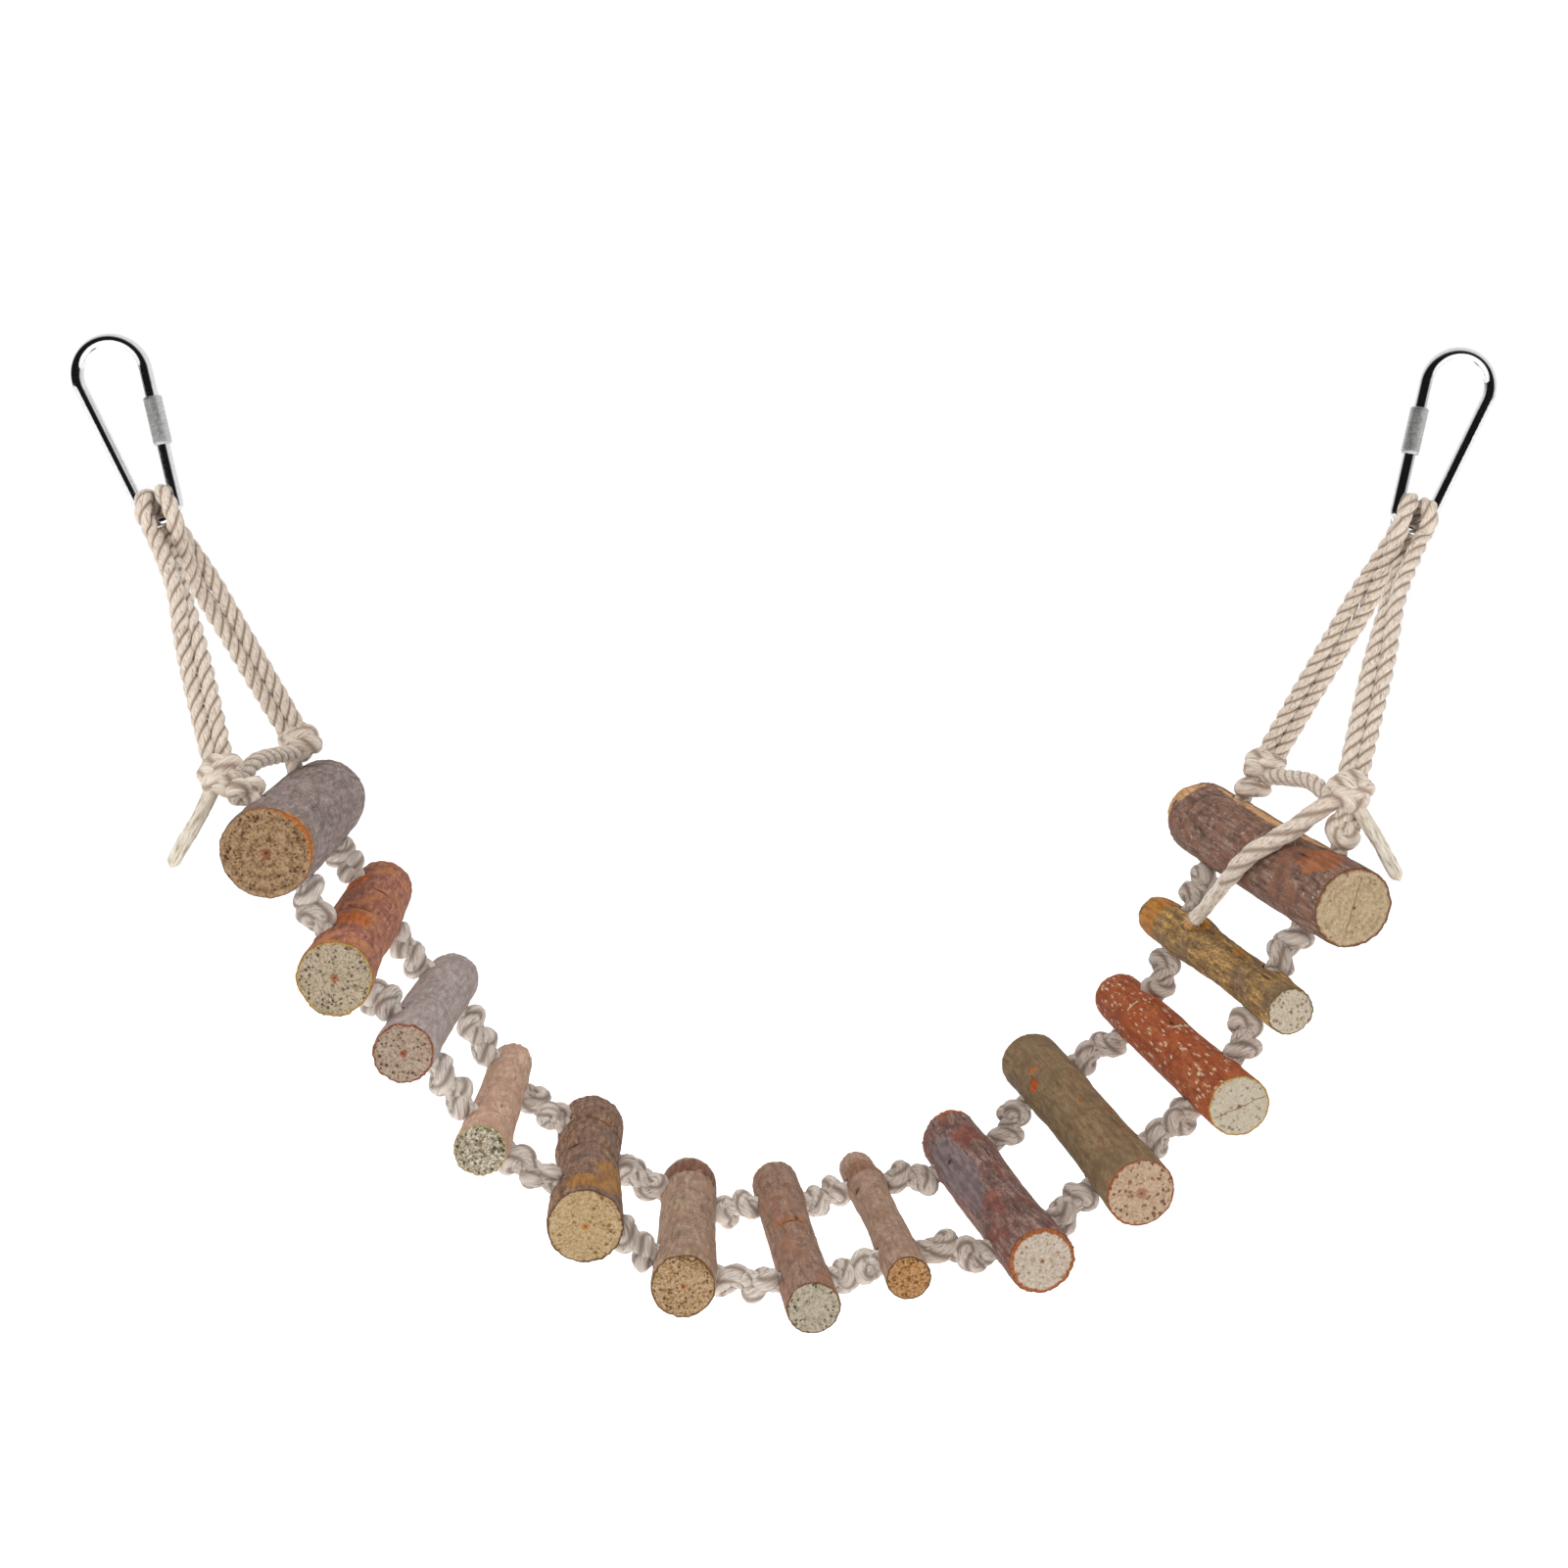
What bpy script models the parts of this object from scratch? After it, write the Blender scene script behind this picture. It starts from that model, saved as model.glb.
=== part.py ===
"""A hanging branch ladder: thirteen natural-wood rungs on two knotted cotton ropes.

Each end of the ladder hangs in a pear-shaped quick link by two doubled rope loops.
Metres, +Z up, +X from the left link to the right one, and the rungs' front ends point to -Y.
The origin is the point where the left hook bears: inside the wire, at the top of the left link's wide end.
"""

from collections import namedtuple
from math import asin, cos, degrees, pi, radians, sin

import bmesh
import bpy
from mathutils import Matrix, Vector
from mathutils.geometry import interpolate_bezier

MM = 0.001
GAP = 0.3 * MM  # air between two pieces that touch

# Rope
ROPE = 4.0 * MM  # diameter
ROPE_AT_EYE = 2.4 * MM  # squeezed where two loops share the narrow end of a link
BORE = 5.0 * MM  # cross hole through a rung
BORE_SPREAD = 50.0 * MM  # between the two holes of a rung
ROPE_SIDES = (("front", -1), ("back", 1))
# thickness of a knotted stretch, in rope diameters, from one rung to the next: two tightened knots
KNOTTED = (1.0, 1.6, 2.1, 2.2, 1.75, 1.7, 2.1, 2.2, 1.6, 1.0)
END_KNOT = 11.0 * MM  # across the knot under a loop

# Quick link: a pear of round wire, its slot bridged by a sleeve nut
WIRE = 3.0 * MM
WIDE = 8.0 * MM  # radius of the wide end, at the wire's centre
NARROW = 4.3 * MM
LINK_CENTRES = 31.5 * MM  # between the centres of the two ends
SLOT = 7.0 * MM
SLEEVE = 11.4 * MM
SLEEVE_OUTER = 4.3 * MM
SLEEVE_INNER = 3.2 * MM
SLEEVE_PLACE = 12.4 * MM  # from the wide end's tangent point down the leg to the sleeve's middle

# Rungs
RUNG_LENGTH = 80.0 * MM
RUNG_FACETS = 16
BORE_FACETS = 12

Rung = namedtuple("Rung", "diameter step heading yaw dip colour profile")
# diameter in mm; step in mm and heading in degrees above +X, from the rung before;
# yaw turns the front end to +X and dip lowers it, both in degrees;
# profile: (place from the front end, share of the radius), the branch's swellings and waists
RUNGS = (
    Rung(21.3, 0.0, 0, 1, 2, (0.30, 0.25, 0.23), ((0.0, 0.98), (0.3, 1.0), (0.7, 1.0), (1.0, 0.97))),
    Rung(17.2, 30.0, -62, 1, 5, (0.42, 0.12, 0.06), ((0.0, 1.0), (0.35, 0.9), (0.55, 0.98), (1.0, 0.9))),
    Rung(14.2, 26.5, -52, -1, 0, (0.36, 0.30, 0.27), ((0.0, 1.0), (0.4, 0.96), (1.0, 1.0))),
    Rung(12.5, 28.0, -54, 0, 0, (0.42, 0.26, 0.18), ((0.0, 1.0), (0.5, 0.9), (1.0, 0.86))),
    Rung(17.6, 28.5, -40, 2, 0, (0.16, 0.09, 0.05), ((0.0, 1.0), (0.3, 0.96), (0.6, 0.86), (1.0, 1.0))),
    Rung(15.2, 29.0, -32, -1, -1, (0.27, 0.17, 0.11), ((0.0, 1.0), (0.5, 0.93), (1.0, 0.96))),
    Rung(12.9, 26.5, -6, 4, 3, (0.30, 0.18, 0.12), ((0.0, 1.0), (0.4, 0.92), (1.0, 0.98))),
    Rung(10.7, 23.0, 13, 4, 1, (0.42, 0.27, 0.19), ((0.0, 1.0), (0.45, 0.86), (0.8, 0.94), (1.0, 0.88))),
    Rung(16.6, 28.5, 11, 8, 4, (0.17, 0.10, 0.08), ((0.0, 1.0), (0.4, 0.94), (0.75, 1.0), (1.0, 0.96))),
    Rung(16.6, 29.5, 40, 9, 8, (0.20, 0.14, 0.06), ((0.0, 1.0), (0.35, 0.95), (0.6, 0.92), (1.0, 1.0))),
    Rung(15.0, 29.5, 39, 8, 6, (0.42, 0.12, 0.04), ((0.0, 1.0), (0.4, 0.95), (0.8, 0.93), (1.0, 0.9))),
    Rung(11.5, 25.0, 64, 9, 6, (0.20, 0.13, 0.05), ((0.0, 1.0), (0.4, 0.94), (0.7, 1.04), (1.0, 0.98))),
    Rung(19.6, 28.0, 64, 11, 8, (0.16, 0.08, 0.06), ((0.0, 1.0), (0.5, 0.98), (1.0, 1.0))),
)
ROPE_COLOUR = (0.72, 0.63, 0.52)
DIPPED_COLOUR = (0.76, 0.68, 0.48)
CHROME_COLOUR = (0.80, 0.80, 0.82)
SLEEVE_COLOUR = (0.52, 0.52, 0.51)

End = namedtuple("End", "name side lean reach drop rope knots")
# side: the way of the ladder's middle from here, +1 or -1; lean of the link from upright;
# reach and drop from the narrow end's centre to the end rung's centre;
# rope: the way the ropes leave the rung's holes, in degrees above +X;
# knots: for the front and the back, distance from the hole's middle in mm and direction in degrees
ENDS = (
    End("left", 1, -18, 31.0 * MM, 76.6 * MM, 120, ((20.0, 130), (17.2, 104))),
    End("right", -1, 18, 33.1 * MM, 85.8 * MM, 68, ((24.2, 75), (19.8, 61))),
)
SHORT_TAIL = 16.0 * MM
LONG_TAIL_ROUTE = (  # from the right front knot over the last rung, in mm from that rung's centre
    (5.0, -23.0, 15.9),
    (1.0, -20.5, 11.9),
    (-3.1, -18.2, 8.25),
    (-8.8, -13.2, 3.3),
    (-11.2, -5.8, -2.6),
    (-13.5, 2.5, -9.9),
    (-16.1, 9.2, -16.4),
)

Frame = namedtuple("Frame", "empty world")


def heading(angle):
    """The direction in the XZ plane that lies this many degrees above +X."""
    return Vector((cos(radians(angle)), 0, sin(radians(angle))))


def paint(obj, colour, roughness, metallic=0.0):
    made = bpy.data.materials.new(obj.name)
    made.use_nodes = True
    shader = made.node_tree.nodes["Principled BSDF"]
    shader.inputs["Base Color"].default_value = (*colour, 1)
    shader.inputs["Roughness"].default_value = roughness
    shader.inputs["Metallic"].default_value = metallic
    obj.data.materials.append(made)


def frame_at(name, world, parent=None):
    """An empty on a joint's axis, its own Y along the axis, which carries the pieces of one body."""
    empty = bpy.data.objects.new(name, None)
    empty.empty_display_size = 5 * MM
    parts.objects.link(empty)
    if parent:
        hang(empty, world, parent)
    else:
        empty.matrix_basis = world
    return Frame(empty, world)


def hang(obj, world, frame):
    """Puts an object at a world matrix and lets it move with a frame."""
    obj.parent = frame.empty
    obj.matrix_parent_inverse = frame.world.inverted()
    obj.matrix_basis = world


def shade_round(mesh):
    mesh.shade_smooth()
    mesh.set_sharp_from_angle(angle=radians(40))


def tube(name, points, frame, radii, resolution=2):
    """A closed round tube along points in world space, with its origin on the frame's own."""
    curve = bpy.data.curves.new(name, "CURVE")
    curve.dimensions = "3D"
    curve.bevel_depth = 1.0
    curve.bevel_resolution = resolution
    curve.use_fill_caps = True
    spline = curve.splines.new("POLY")
    spline.points.add(len(points) - 1)
    origin = frame.world.translation
    for at, place, radius in zip(spline.points, points, radii, strict=True):
        at.co = (*(place - origin), 1)
        at.radius = radius
    obj = bpy.data.objects.new(name, curve)
    parts.objects.link(obj)
    hang(obj, Matrix.Translation(origin), frame)
    return obj


def turned(name, profile, steps):
    """A solid turned about its own Z from (radius, height) points, top to bottom."""
    mesh = bpy.data.meshes.new(name)
    points = [(radius, 0, height) for radius, height in profile]
    mesh.from_pydata(points, [(i, i + 1) for i in range(len(points) - 1)], [])
    obj = bpy.data.objects.new(name, mesh)
    parts.objects.link(obj)
    screw = obj.modifiers.new("turn", "SCREW")
    screw.steps = screw.render_steps = steps
    screw.use_merge_vertices = True
    screw.merge_threshold = 0.01 * MM
    screw.use_smooth_shade = True
    return obj


def smooth(route, per_leg=3):
    """Points read from a smooth curve (Catmull-Rom) through the route's own points."""
    ends = [2 * route[0] - route[1], *route, 2 * route[-1] - route[-2]]
    found = []
    for before, a, b, after in zip(ends, ends[1:], ends[2:], ends[3:]):
        for step in range(per_leg):
            t = step / per_leg
            found.append(
                0.5 * (2 * a + (b - before) * t + (2 * before - 5 * a + 4 * b - after) * t**2
                       + (3 * a - before - 3 * b + after) * t**3)
            )
    return [*found, route[-1]]


# ---------------------------------------------------------------- rungs


def rung_world(number, bores):
    """World matrix of a rung: own Z along the branch to its back end, own X along its holes."""
    rung = RUNGS[number]
    turn = (
        Matrix.Rotation(radians(rung.yaw), 4, "Z")
        @ Matrix.Rotation(radians(rung.dip), 4, "X")
        @ Matrix.Rotation(-radians(bores[number]), 4, "Y")
        @ Matrix.Rotation(-pi / 2, 4, "X")
    )
    return Matrix.Translation(centre_of(number)) @ turn


def centre_of(number):
    """A rung's centre, walked from the left link's narrow end along the chain."""
    left = ENDS[0]
    at = narrow_centre(left) + Vector((left.reach, 0, -left.drop))
    for rung in RUNGS[1 : number + 1]:
        at += heading(rung.heading) * rung.step * MM
    return at


def bore_headings():
    """The direction of each rung's holes: halfway between the way the ropes come in and go out."""
    ways = [ENDS[0].rope - 180] + [rung.heading for rung in RUNGS[1:]] + [ENDS[1].rope]
    return [(a + b) / 2 for a, b in zip(ways, ways[1:])]


def bore_cutter_mesh():
    """Two round bars across a rung, which cut its rope holes."""
    cutter = bmesh.new()
    for _, side in ROPE_SIDES:
        bmesh.ops.create_cone(
            cutter,
            cap_ends=True,
            segments=BORE_FACETS,
            radius1=BORE / 2,
            radius2=BORE / 2,
            depth=40 * MM,
            matrix=Matrix.Translation((0, 0, side * BORE_SPREAD / 2)) @ Matrix.Rotation(pi / 2, 4, "Y"),
        )
    mesh = bpy.data.meshes.new("rope_holes")
    cutter.to_mesh(mesh)
    cutter.free()
    return mesh


def make_rung(number, world, frame, cutter_mesh):
    rung = RUNGS[number]
    name = f"rung_{number + 1:02d}"
    radius = rung.diameter / 2 * MM
    outline = [(share * radius, (place - 0.5) * RUNG_LENGTH) for place, share in reversed(rung.profile)]
    top, bottom = outline[0][1], outline[-1][1]
    obj = turned(name, [(0, top), *outline, (0, bottom)], RUNG_FACETS)
    cutter = bpy.data.objects.new(f"{name}_holes", cutter_mesh)
    cutters.objects.link(cutter)
    cutter.hide_render = True
    cutter.display_type = "WIRE"
    cutter.matrix_basis = world
    cut = obj.modifiers.new("rope holes", "BOOLEAN")
    cut.operation = "DIFFERENCE"
    cut.object = cutter
    hang(obj, world, frame)
    paint(obj, rung.colour, 0.8)


def hole(world, side):
    """The middle of a rung's front or back hole."""
    return world @ Vector((0, 0, side * BORE_SPREAD / 2))


def along(world):
    """The direction of a rung's holes, from the left link towards the right one."""
    return world.to_3x3() @ Vector((1, 0, 0))


def radius_at_hole(number, side):
    """A rung's radius where a rope goes through, read off its profile."""
    rung = RUNGS[number]
    place = 0.5 + side * BORE_SPREAD / 2 / RUNG_LENGTH
    for (p, a), (q, b) in zip(rung.profile, rung.profile[1:]):
        if p <= place <= q:
            return (a + (b - a) * (place - p) / (q - p)) * rung.diameter / 2 * MM
    raise ValueError("the hole lies beyond the rung")


def mouth(number, world, side, way):
    """The point just outside a hole's mouth. way is +1 towards the right link, -1 towards the left one."""
    out = radius_at_hole(number, side) + GAP
    return hole(world, side) + along(world) * way * out


def stretch_points(number, worlds, side):
    """Middle of one rung's hole, the knotted stretch between the two mouths, middle of the next hole."""
    here, there = worlds[number], worlds[number + 1]
    start, end = mouth(number, here, side, 1), mouth(number + 1, there, side, -1)
    pull = (end - start).length / 3
    middle = interpolate_bezier(start, start + along(here) * pull, end - along(there) * pull, end, len(KNOTTED))
    first = hole(here, side) + along(here) * GAP / 2
    last = hole(there, side) - along(there) * GAP / 2
    return [first, *middle, last]


def make_stretch(number, worlds, side_name, side, frame):
    """The rope from one rung to the next: straight in the holes and knotted between them."""
    radii = [ROPE / 2 * share for share in (1.0, *KNOTTED, 1.0)]
    name = f"rope_{side_name}_{number + 1:02d}_{number + 2:02d}"
    obj = tube(name, stretch_points(number, worlds, side), frame, radii)
    paint(obj, ROPE_COLOUR, 0.9)


def hinge_between(number, worlds):
    """World matrix on the axis about which a gap folds: through the middles of its two rope stretches."""
    middles = []
    for _, side in ROPE_SIDES:
        points = stretch_points(number, worlds, side)
        middles.append((points[len(points) // 2 - 1] + points[len(points) // 2]) / 2)
    front, back = middles
    return hinge_world((front + back) / 2, back - front)


def hinge_world(at, axis):
    """A matrix at a point, with its own Y along an axis."""
    return Matrix.Translation(at) @ Vector((0, 1, 0)).rotation_difference(axis).to_matrix().to_4x4()


# ---------------------------------------------------------------- links


def link_slope():
    """The angle between a link's leg and its centre line."""
    return asin((WIDE - NARROW) / LINK_CENTRES)


def wide_centre(end):
    """The centre of a link's wide end. The left one hangs below the origin, where its hook bears."""
    if end.name == "left":
        return Vector((0, 0, WIRE / 2 - WIDE))
    return narrow_centre(end) + up_link(end) * LINK_CENTRES


def narrow_centre(end):
    """The centre of a link's narrow end."""
    if end.name == "left":
        return wide_centre(end) - up_link(end) * LINK_CENTRES
    return centre_of(len(RUNGS) - 1) + Vector((end.reach, 0, end.drop))


def up_link(end):
    """The direction of a link's centre line, up."""
    return heading(90 - end.lean)


def link_world(end):
    """World matrix of a link: own Z up its centre line, own X towards the sleeve's leg, centred in the wide end."""
    turn = Matrix.Rotation(radians(end.lean), 4, "Y")
    flip = Matrix.Rotation(0 if end.side > 0 else pi, 4, "Z")
    return Matrix.Translation(wide_centre(end)) @ turn @ flip


def arc(centre, radius, first, last, steps):
    """Points in a link's own XZ plane, round an arc from one angle to another, in degrees above +X."""
    angles = [first + (last - first) * step / steps for step in range(steps + 1)]
    return [centre + heading(angle) * radius for angle in angles]


def leg_point(down):
    """A point on the sleeve's leg, this far down from the wide end's tangent point."""
    slope = link_slope()
    start = heading(-degrees(slope)) * WIDE
    return start + Vector((-sin(slope), 0, -cos(slope))) * down


def make_link(end, frame):
    """The link's wire, from the slot's upper lip round the wide end and the narrow end to its lower lip."""
    slope = degrees(link_slope())
    low = Vector((0, 0, -LINK_CENTRES))
    own = [
        leg_point(SLEEVE_PLACE - SLOT / 2),
        *arc(Vector(), WIDE, -slope, 180 + slope, 16),
        *arc(low, NARROW, 180 + slope, 360 - slope, 12),
        leg_point(SLEEVE_PLACE + SLOT / 2),
    ]
    world = link_world(end)
    obj = tube(f"{end.name}_link", [world @ point for point in own], frame, [WIRE / 2] * len(own), 3)
    paint(obj, CHROME_COLOUR, 0.12, 1.0)


def make_sleeve(end, frame):
    """The threaded sleeve that bridges the link's slot."""
    half, inner, outer, bevel = SLEEVE / 2, SLEEVE_INNER / 2, SLEEVE_OUTER / 2, 0.35 * MM
    profile = [
        (inner, half),
        (outer - bevel, half),
        (outer, half - bevel),
        (outer, bevel - half),
        (outer - bevel, -half),
        (inner, -half),
        (inner, half),
    ]
    obj = turned(f"{end.name}_sleeve", profile, 16)
    slant = Matrix.Rotation(link_slope(), 4, "Y")
    hang(obj, link_world(end) @ Matrix.Translation(leg_point(SLEEVE_PLACE)) @ slant, frame)
    paint(obj, SLEEVE_COLOUR, 0.45, 0.9)


# ---------------------------------------------------------------- end ropes


def end_rung(end):
    return 0 if end.name == "left" else len(RUNGS) - 1


def knot_centre(end, world, index, side):
    distance, direction = end.knots[index]
    return hole(world, side) + heading(direction) * distance * MM


def make_end_knot(end, side_name, at, frame):
    mesh = bpy.data.meshes.new("end_knot")
    ball = bmesh.new()
    bmesh.ops.create_uvsphere(ball, u_segments=12, v_segments=8, radius=END_KNOT / 2)
    ball.to_mesh(mesh)
    ball.free()
    shade_round(mesh)
    obj = bpy.data.objects.new(f"{end.name}_knot_{side_name}", mesh)
    parts.objects.link(obj)
    hang(obj, Matrix.Translation(at), frame)
    paint(obj, ROPE_COLOUR, 0.9)


def loop_route(end, knot, side):
    """A doubled loop: up from the knot, through the link's narrow end from front to back, and down again."""
    eye, up = narrow_centre(end), up_link(end)
    across = Vector((up.z, 0, -up.x)) * side * end.side  # the front loop lies on the link's outer side
    down = (knot - eye).normalized()
    beside = down.cross(Vector((0, 1, 0))).normalized() * end.side
    top = knot - down * (END_KNOT / 2 + GAP)
    half = []
    for strand in (-1, 1):
        over = Vector((0, strand, 0))
        half.append([
            top + beside * strand * 2.2 * MM,
            eye.lerp(top, 0.72) + beside * strand * 2.2 * MM + over * 1.0 * MM,
            eye.lerp(top, 0.42) + beside * strand * 1.6 * MM + over * 2.4 * MM,
            eye.lerp(top, 0.17) + across * 2.0 * MM + over * 3.7 * MM,
            eye + across * 2.35 * MM - up * NARROW + over * (ROPE / 2 + WIRE / 2 + 1.5 * GAP),
            eye + across * 1.9 * MM + up * 0.5 * MM + over * 3.2 * MM,
        ])
    bight = eye + across * 1.5 * MM + up * 2.4 * MM
    return [*half[0], bight, *reversed(half[1])]


def make_loop(end, side_name, side, knot, frame):
    route = loop_route(end, knot, side)
    thick = [ROPE / 2] * 5 + [(ROPE + ROPE_AT_EYE) / 4]
    key = [*thick, ROPE_AT_EYE / 2, *reversed(thick)]
    points, radii = smooth(route, 2), []
    for a, b in zip(key, key[1:]):
        radii += [a, (a + b) / 2]
    obj = tube(f"{end.name}_loop_{side_name}", points, frame, [*radii, key[-1]])
    paint(obj, ROPE_COLOUR, 0.9)


def make_lead(end, side_name, side, knot, world, frame):
    """The rope from the middle of the end rung's hole up to the knot."""
    number, way = end_rung(end), -end.side
    start = hole(world, side) + along(world) * way * GAP / 2
    out = mouth(number, world, side, way)
    reach = (knot - out).normalized()
    stop = knot - reach * (END_KNOT / 2 + GAP)
    obj = tube(f"{end.name}_lead_{side_name}", [start, out, stop], frame, [ROPE / 2] * 3)
    paint(obj, ROPE_COLOUR, 0.9)


def make_crossing(end, knots, frame):
    """The rope that lies along the end rung from the front knot to the back knot."""
    front, back = knots
    axis = (back - front).normalized()
    clear = END_KNOT / 2 + GAP
    start, stop = front + axis * clear, back - axis * clear
    dip = Vector((0, 0, -0.8 * MM))
    route = [start, start.lerp(stop, 0.35) + dip, start.lerp(stop, 0.7) + dip, stop]
    obj = tube(f"{end.name}_crossing", smooth(route, 2), frame, [ROPE / 2] * 7)
    paint(obj, ROPE_COLOUR, 0.9)


def make_short_tail(end, knot, frame):
    """The loose end below the front knot, dipped so that it can't fray."""
    way = heading(-90 - 26 * end.side) * 0.94 + Vector((0, -0.34, 0))
    start = knot + way * (END_KNOT / 2 + GAP)
    points = [start + way * SHORT_TAIL * share for share in (0, 0.5, 0.85, 1)]
    obj = tube(f"{end.name}_tail", points, frame, [1.4 * MM, 1.3 * MM, 1.1 * MM, 0.3 * MM])
    paint(obj, DIPPED_COLOUR, 0.4)


def make_long_tail(frame):
    """The right front knot's second end, draped over the last rung."""
    start = centre_of(len(RUNGS) - 1)
    route = [start + Vector(point) * MM for point in LONG_TAIL_ROUTE]
    points = smooth(route, 2)
    obj = tube("right_long_tail", points, frame, [ROPE / 2] * len(points))
    paint(obj, ROPE_COLOUR, 0.9)


def knots_of(end, world):
    """The centres of an end's front and back knots."""
    return [knot_centre(end, world, index, side) for index, (_, side) in enumerate(ROPE_SIDES)]


def make_loops(end, world, frame):
    """The knots and the loops between them and a link."""
    for knot, (side_name, side) in zip(knots_of(end, world), ROPE_SIDES):
        make_end_knot(end, side_name, knot, frame)
        make_loop(end, side_name, side, knot, frame)


def make_rung_ropes(end, world, frame):
    """What stays with an end rung: the leads up to its knots, the crossing between them, and a loose end."""
    knots = knots_of(end, world)
    for knot, (side_name, side) in zip(knots, ROPE_SIDES):
        make_lead(end, side_name, side, knot, world, frame)
    make_crossing(end, knots, frame)
    make_short_tail(end, knots[0], frame)


def end_hinge(end, world):
    """World matrix on the axis about which the loops swing on an end rung: through its two knots."""
    front, back = knots_of(end, world)
    return hinge_world((front + back) / 2, back - front)


# ---------------------------------------------------------------- assembly


def collection(name):
    made = bpy.data.collections.new(name)
    bpy.context.scene.collection.children.link(made)
    return made


def main():
    left, right = ENDS
    bores = bore_headings()
    worlds = [rung_world(number, bores) for number in range(len(RUNGS))]
    swivels = {end.name: Matrix.Translation(narrow_centre(end)) for end in ENDS}

    root = frame_at("left_link_frame", Matrix.Translation(wide_centre(left)))
    make_link(left, root)
    make_sleeve(left, frame_at("left_sleeve_frame", link_world(left), root))
    frame = frame_at("left_loops_frame", swivels["left"], root)
    make_loops(left, worlds[0], frame)

    cutter_mesh = bore_cutter_mesh()
    hinges = [end_hinge(left, worlds[0])] + [hinge_between(n, worlds) for n in range(len(RUNGS) - 1)]
    for number, (world, hinge) in enumerate(zip(worlds, hinges, strict=True)):
        frame = frame_at(f"rung_{number + 1:02d}_frame", hinge, frame)
        make_rung(number, world, frame, cutter_mesh)
        for end in ENDS:
            if number == end_rung(end):
                make_rung_ropes(end, world, frame)
        if number + 1 < len(RUNGS):
            for side_name, side in ROPE_SIDES:
                make_stretch(number, worlds, side_name, side, frame)
    make_long_tail(frame)

    frame = frame_at("right_loops_frame", end_hinge(right, worlds[-1]), frame)
    make_loops(right, worlds[-1], frame)
    frame = frame_at("right_link_frame", swivels["right"], frame)
    make_link(right, frame)
    make_sleeve(right, frame_at("right_sleeve_frame", link_world(right), frame))


for old in list(bpy.data.objects):
    bpy.data.objects.remove(old)
parts = collection("branch_ladder")
cutters = collection("cutters")
main()
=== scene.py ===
from math import asin, cos, degrees, pi, radians, sin, tau

import bpy
import numpy as np
from mathutils import Matrix, Vector
from mathutils.geometry import interpolate_bezier


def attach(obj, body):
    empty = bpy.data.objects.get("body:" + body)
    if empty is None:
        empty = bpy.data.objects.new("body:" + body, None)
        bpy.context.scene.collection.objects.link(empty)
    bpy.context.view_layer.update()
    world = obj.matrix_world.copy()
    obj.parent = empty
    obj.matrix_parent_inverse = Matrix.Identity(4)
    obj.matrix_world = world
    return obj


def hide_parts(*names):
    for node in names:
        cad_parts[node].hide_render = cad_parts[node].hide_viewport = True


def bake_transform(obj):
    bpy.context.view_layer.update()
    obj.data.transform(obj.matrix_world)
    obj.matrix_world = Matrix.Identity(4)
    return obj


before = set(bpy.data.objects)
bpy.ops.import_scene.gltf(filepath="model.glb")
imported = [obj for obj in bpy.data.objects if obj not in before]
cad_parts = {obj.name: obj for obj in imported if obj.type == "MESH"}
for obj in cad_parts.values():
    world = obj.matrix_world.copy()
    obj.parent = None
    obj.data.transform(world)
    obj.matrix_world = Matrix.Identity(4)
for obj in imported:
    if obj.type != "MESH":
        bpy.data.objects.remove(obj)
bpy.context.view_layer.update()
scene = bpy.context.scene
MM = 0.001

# ---------------------------------------------------------------- camera

CAMERA_PLACE = (0.1359, -0.476, -0.0508)
CAMERA_TILT, CAMERA_TURN = 83.6, -2.7  # degrees from straight down, and to the left of +Y

lens = bpy.data.cameras.new("camera")
lens.lens, lens.sensor_width = 45, 36
lens.clip_start, lens.clip_end = 0.02, 50
camera = bpy.data.objects.new("camera", lens)
camera.location = CAMERA_PLACE
camera.rotation_euler = (radians(CAMERA_TILT), 0, radians(CAMERA_TURN))
scene.collection.objects.link(camera)
scene.camera = camera

# ---------------------------------------------------------------- the ladder's design, as in the CAD model

GAP = 0.3  # air between two pieces that touch
ROPE = 4.0  # diameter
SIDES = (("front", -1), ("back", 1))
BORE_SPREAD = 50.0  # between the two holes of a rung
# the quick link: its wire, the radii of its two ends, and the distance between their centres
WIRE, WIDE, NARROW, LINK_CENTRES = 3.0, 8.0, 4.3, 31.5
# its slot, the sleeve's length and diameters, and the sleeve's place down the leg
SLOT, SLEEVE, SLEEVE_OUTER, SLEEVE_INNER, SLEEVE_PLACE = 7.0, 11.4, 4.3, 3.2, 12.4
RUNG_LENGTH = 80.0
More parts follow.
